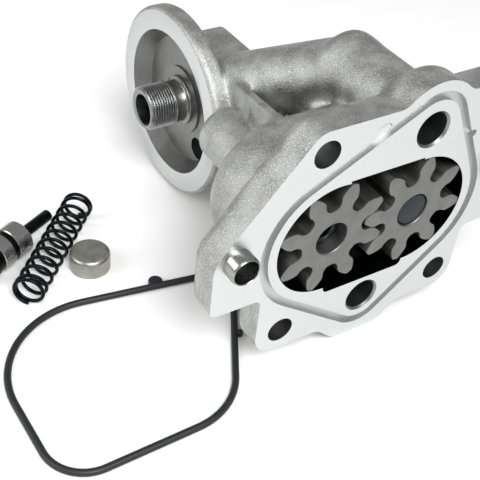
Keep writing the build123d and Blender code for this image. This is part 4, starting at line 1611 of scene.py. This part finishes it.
@dataclass
class FaceSeal:
    """Rubber ring seal of the face groove, lying on the ground."""

    thickness: float = 3.4
    tab_clearance: float = 0.4
    tab_inset: float = 0.05
    tab_edge: float = 0.4
    loop: Belt = Belt(((-92.2, 30.7, 45.0), (-27.0, 52.7, 12.9), (-73.3, 16.9, 34.6), (-117.2, 1.6, 19.6)))

    def seal_tree(self, finish: bpy.types.Material) -> bpy.types.NodeTree:
        """Geometry nodes that draw the cord section along the seal's line.

        Args:
            finish: Material of the seal.

        Returns:
            The node tree.
        """
        tree, given = started_tree("mould_seal", ["Section Radius"])
        line = add_node(tree, "GeometryNodeMeshToCurve", {"Mesh": given["Geometry"]})
        end_tree(tree, line.outputs["Curve"], given["Section Radius"], 20, finish)
        return tree

    def build(self) -> bpy.types.Object:
        """Mould the seal with its two tabs.

        Returns:
            The finished piece.
        """
        half = self.thickness / 2
        height = GROUND + half
        line = self.loop.line(0.0, math.radians(4))
        seed = bpy.data.meshes.new("seal_line")
        edges = [(step, (step + 1) % len(line)) for step in range(len(line))]
        seed.from_pydata([(x * MM, y * MM, height * MM) for x, y in line], edges, [])
        made = grown(self.seal_tree(NITRILE_RUBBER.material()), {"Section Radius": half * MM}, seed)
        outer, inner = half - self.tab_inset, half - self.tab_inset - self.tab_edge
        tabs = []
        for (x, y), radius in self.loop.tab_circles():
            side = radius - self.tab_clearance
            end = side - self.tab_edge
            profile = [
                (-outer, 0.0), (-outer, end), (-inner, side),
                (inner, side), (outer, end), (outer, 0.0)]
            tabs.append(turned(profile, Side.UPRIGHT.frame((x, y, height)), 40))
        made = carved(made, tabs, joined=True)
        return piece("seal_ring", made, "housing", ["housing_seal"], sharp=40.0)


@dataclass
class Dowel:
    """Hollow locating dowel pressed into the face.

    The taper and the edges of two numbers are a run along the axis and a change of radius.
    """

    node: str
    place: Flat
    radius: float = 7.0
    bore: float = 5.9
    length: float = 15.0
    stand_out: float = 7.5
    taper: Flat = (1.6, 0.55)
    bore_edge: Flat = (0.3, 0.25)
    nose_edge: Flat = (0.25, 0.2)
    end_edge: float = 0.4

    def build(self) -> bpy.types.Object:
        """Turn the dowel.

        Returns:
            The finished piece.
        """
        start, end = -self.stand_out, self.length - self.stand_out
        run, drop = self.taper
        bore_run, bore_rise = self.bore_edge
        nose_run, nose_drop = self.nose_edge
        nose = self.radius - drop
        profile: list[Flat] = [
            (start + bore_run, self.bore), (start, self.bore + bore_rise), (start, nose - nose_drop),
            (start + nose_run, nose), (start + run, self.radius),
            (end - self.end_edge, self.radius), (end, self.radius - self.end_edge), (end, self.bore)]
        shape = turned(profile, Side.ALONG_Y.frame((self.place[0], 0.0, self.place[1])), 72)
        made = shape.mesh(self.node + "_turned", [BRIGHT_STEEL.material()])
        name = self.node.replace("sleeve", "tube")
        return piece(name, made, "housing", [self.node], sharp=30.0)


@dataclass
class Rotor:
    """Gears and shafts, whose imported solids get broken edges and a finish."""

    edge: float = 0.25
    weld: float = 0.001
    flat_angle: float = 0.6
    sharp_angle: float = 40.0

    def dress(
        self, node: bpy.types.Object, name: str, body: str, finish: bpy.types.Material,
    ) -> None:
        """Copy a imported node, break its sharp edges and give it a finish.

        Args:
            node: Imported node.
            name: Name of the new piece.
            body: Body that it rides on.
            finish: Its material.
        """
        copy = node.data.copy()
        work = bmesh.new()
        work.from_mesh(copy)
        bmesh.ops.remove_doubles(work, verts=work.verts, dist=self.weld * MM)
        bmesh.ops.dissolve_limit(
            work, angle_limit=math.radians(self.flat_angle), verts=work.verts, edges=work.edges)
        work.to_mesh(copy)
        work.free()
        copy.materials.clear()
        copy.materials.append(finish)
        if copy.attributes.get("custom_normal"):
            copy.attributes.remove(copy.attributes["custom_normal"])
        item = linked("working", copy)
        step = item.modifiers.new("broken_edge", "BEVEL")
        step.width = self.edge * MM
        step.segments = 2
        step.limit_method = "ANGLE"
        step.angle_limit = math.radians(self.sharp_angle)
        step.use_clamp_overlap = True
        piece(name, applied(item), body, [node.name], sharp=35.0)

    def build(self, nodes: dict[str, bpy.types.Object]) -> None:
        """Dress the gears and shafts.

        Args:
            nodes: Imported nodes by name.
        """
        steel = SINTERED_STEEL.material()
        shaft = SHAFT_STEEL.material()
        self.dress(nodes["drive_gear"], "driving_gear", "drive_rotor", steel)
        self.dress(nodes["idler_gear"], "driven_gear", "idler_rotor", steel)
        self.dress(nodes["drive_shaft"], "socket_shaft", "drive_rotor", shaft)
        self.dress(nodes["idler_shaft"], "fixed_shaft", "housing", shaft)
        bush = nodes["drive_shaft_bush"]
        bush.data.materials.clear()
        bush.data.materials.append(BEARING_BRONZE.material())
        LOG.info("drive_shaft_bush keeps its packed solid")


@dataclass(frozen=True)
class Lamp:
    """Soft square lamp.

    Attributes:
        name: Name of the lamp.
        place: Where it hangs, in millimetres.
        aim: Point that it faces, in millimetres.
        power: Its power in watts.
        size: Length of its side in millimetres.
    """

    name: str
    place: Point
    aim: Point
    power: float
    size: float = 600.0

    def hang(self) -> None:
        """Add the lamp to the scene."""
        data = bpy.data.lights.new(self.name, "AREA")
        data.shape = "SQUARE"
        data.size = self.size * MM
        data.energy = self.power
        turn = (Vector(self.aim) - Vector(self.place)).to_track_quat("-Z", "Y").to_matrix().to_4x4()
        linked(self.name, data).matrix_world = Matrix.Translation(Vector(self.place) * MM) @ turn


@dataclass
class Studio:
    """Pale floor, white surroundings, soft lamps and the camera."""

    camera_place: Point = (-219.164, -231.076, 259.637)
    camera_right: Point = (0.844603, -0.528115, 0.087977)
    camera_up: Point = (0.285889, 0.583804, 0.759895)
    camera_back: Point = (-0.452674, -0.616658, 0.644065)
    lens: float = 70.5685
    sensor: float = 36.0
    clip: Flat = (0.01, 20.0)
    surroundings: float = 0.5
    floor_reach: float = 3000.0
    floor_thickness: float = 10.0
    floor_gap: float = 0.02
    floor_colour: str = "F4F4F4"
    floor_roughness: float = 0.9
    lamps: tuple[Lamp, ...] = (
        Lamp("key", (-150.0, -700.0, 900.0), (20.0, 20.0, 0.0), 15.0),
        Lamp("side", (-900.0, 200.0, 500.0), (-20.0, 40.0, 0.0), 5.0),
    )

    def camera(self) -> None:
        """Set the camera in its place, with its own right, up and back."""
        data = bpy.data.cameras.new("view")
        data.lens = self.lens
        data.sensor_width = self.sensor
        data.clip_start, data.clip_end = self.clip
        turn = Matrix((self.camera_right, self.camera_up, self.camera_back)).transposed().to_4x4()
        made = linked("view", data)
        made.matrix_world = Matrix.Translation(Vector(self.camera_place) * MM) @ turn
        bpy.context.scene.camera = made

    def world(self) -> None:
        """Surround the scene with soft white light."""
        made = bpy.data.worlds.new("studio")
        made.use_nodes = True
        tree = made.node_tree
        tree.nodes.clear()
        path = add_node(tree, "ShaderNodeLightPath")
        seen = add_node(tree, "ShaderNodeMath", {
            0: path.outputs["Is Camera Ray"], 1: path.outputs["Is Transmission Ray"]}, operation="MAXIMUM")
        strength = add_node(tree, "ShaderNodeMapRange", {
            "Value": seen.outputs[0], "To Min": self.surroundings, "To Max": 1.0})
        light = add_node(tree, "ShaderNodeBackground", {
            "Color": (1.0, 1.0, 1.0, 1.0), "Strength": strength.outputs["Result"]})
        add_node(tree, "ShaderNodeOutputWorld", {"Surface": light.outputs["Background"]})
        bpy.context.scene.world = made

    def floor(self) -> None:
        """Lay the pale floor, which keeps the shadow of the pieces."""
        reach = self.floor_reach
        low = (-reach, -reach, GROUND - self.floor_thickness)
        shape = block(low, (reach, reach, GROUND - self.floor_gap))
        made = bpy.data.materials.new("pale_floor")
        made.use_nodes = True
        surface = made.node_tree.nodes["Principled BSDF"]
        surface.inputs["Base Color"].default_value = linear(self.floor_colour)
        surface.inputs["Roughness"].default_value = self.floor_roughness
        linked("floor", shape.mesh("floor", [made]))

    def build(self) -> None:
        """Set up the camera, floor and light."""
        self.camera()
        self.world()
        self.floor()
        for lamp in self.lamps:
            lamp.hang()
        bpy.context.scene.view_settings.view_transform = "Standard"


def corners(box: tuple[Vector, Vector]) -> list[list[float]]:
    """Turn a box's corners to plain lists."""
    return [list(box[0]), list(box[1])]


def main() -> None:
    """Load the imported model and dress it."""
    logging.basicConfig(level=logging.INFO, format="%(name)s: %(message)s")
    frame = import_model()
    Studio().build()
    housing = Housing()
    housing.build()
    FilterNipple().build()
    for side, place in zip(("left", "right"), housing.dowels):
        Dowel("dowel_sleeve_" + side, place).build()
    Rotor().build(frame["nodes"])
    relief = ReliefSet()
    relief.build_spool()
    relief.build_spring()
    relief.build_cup()
    FaceSeal().build()


if __name__ == "__main__":
    main()
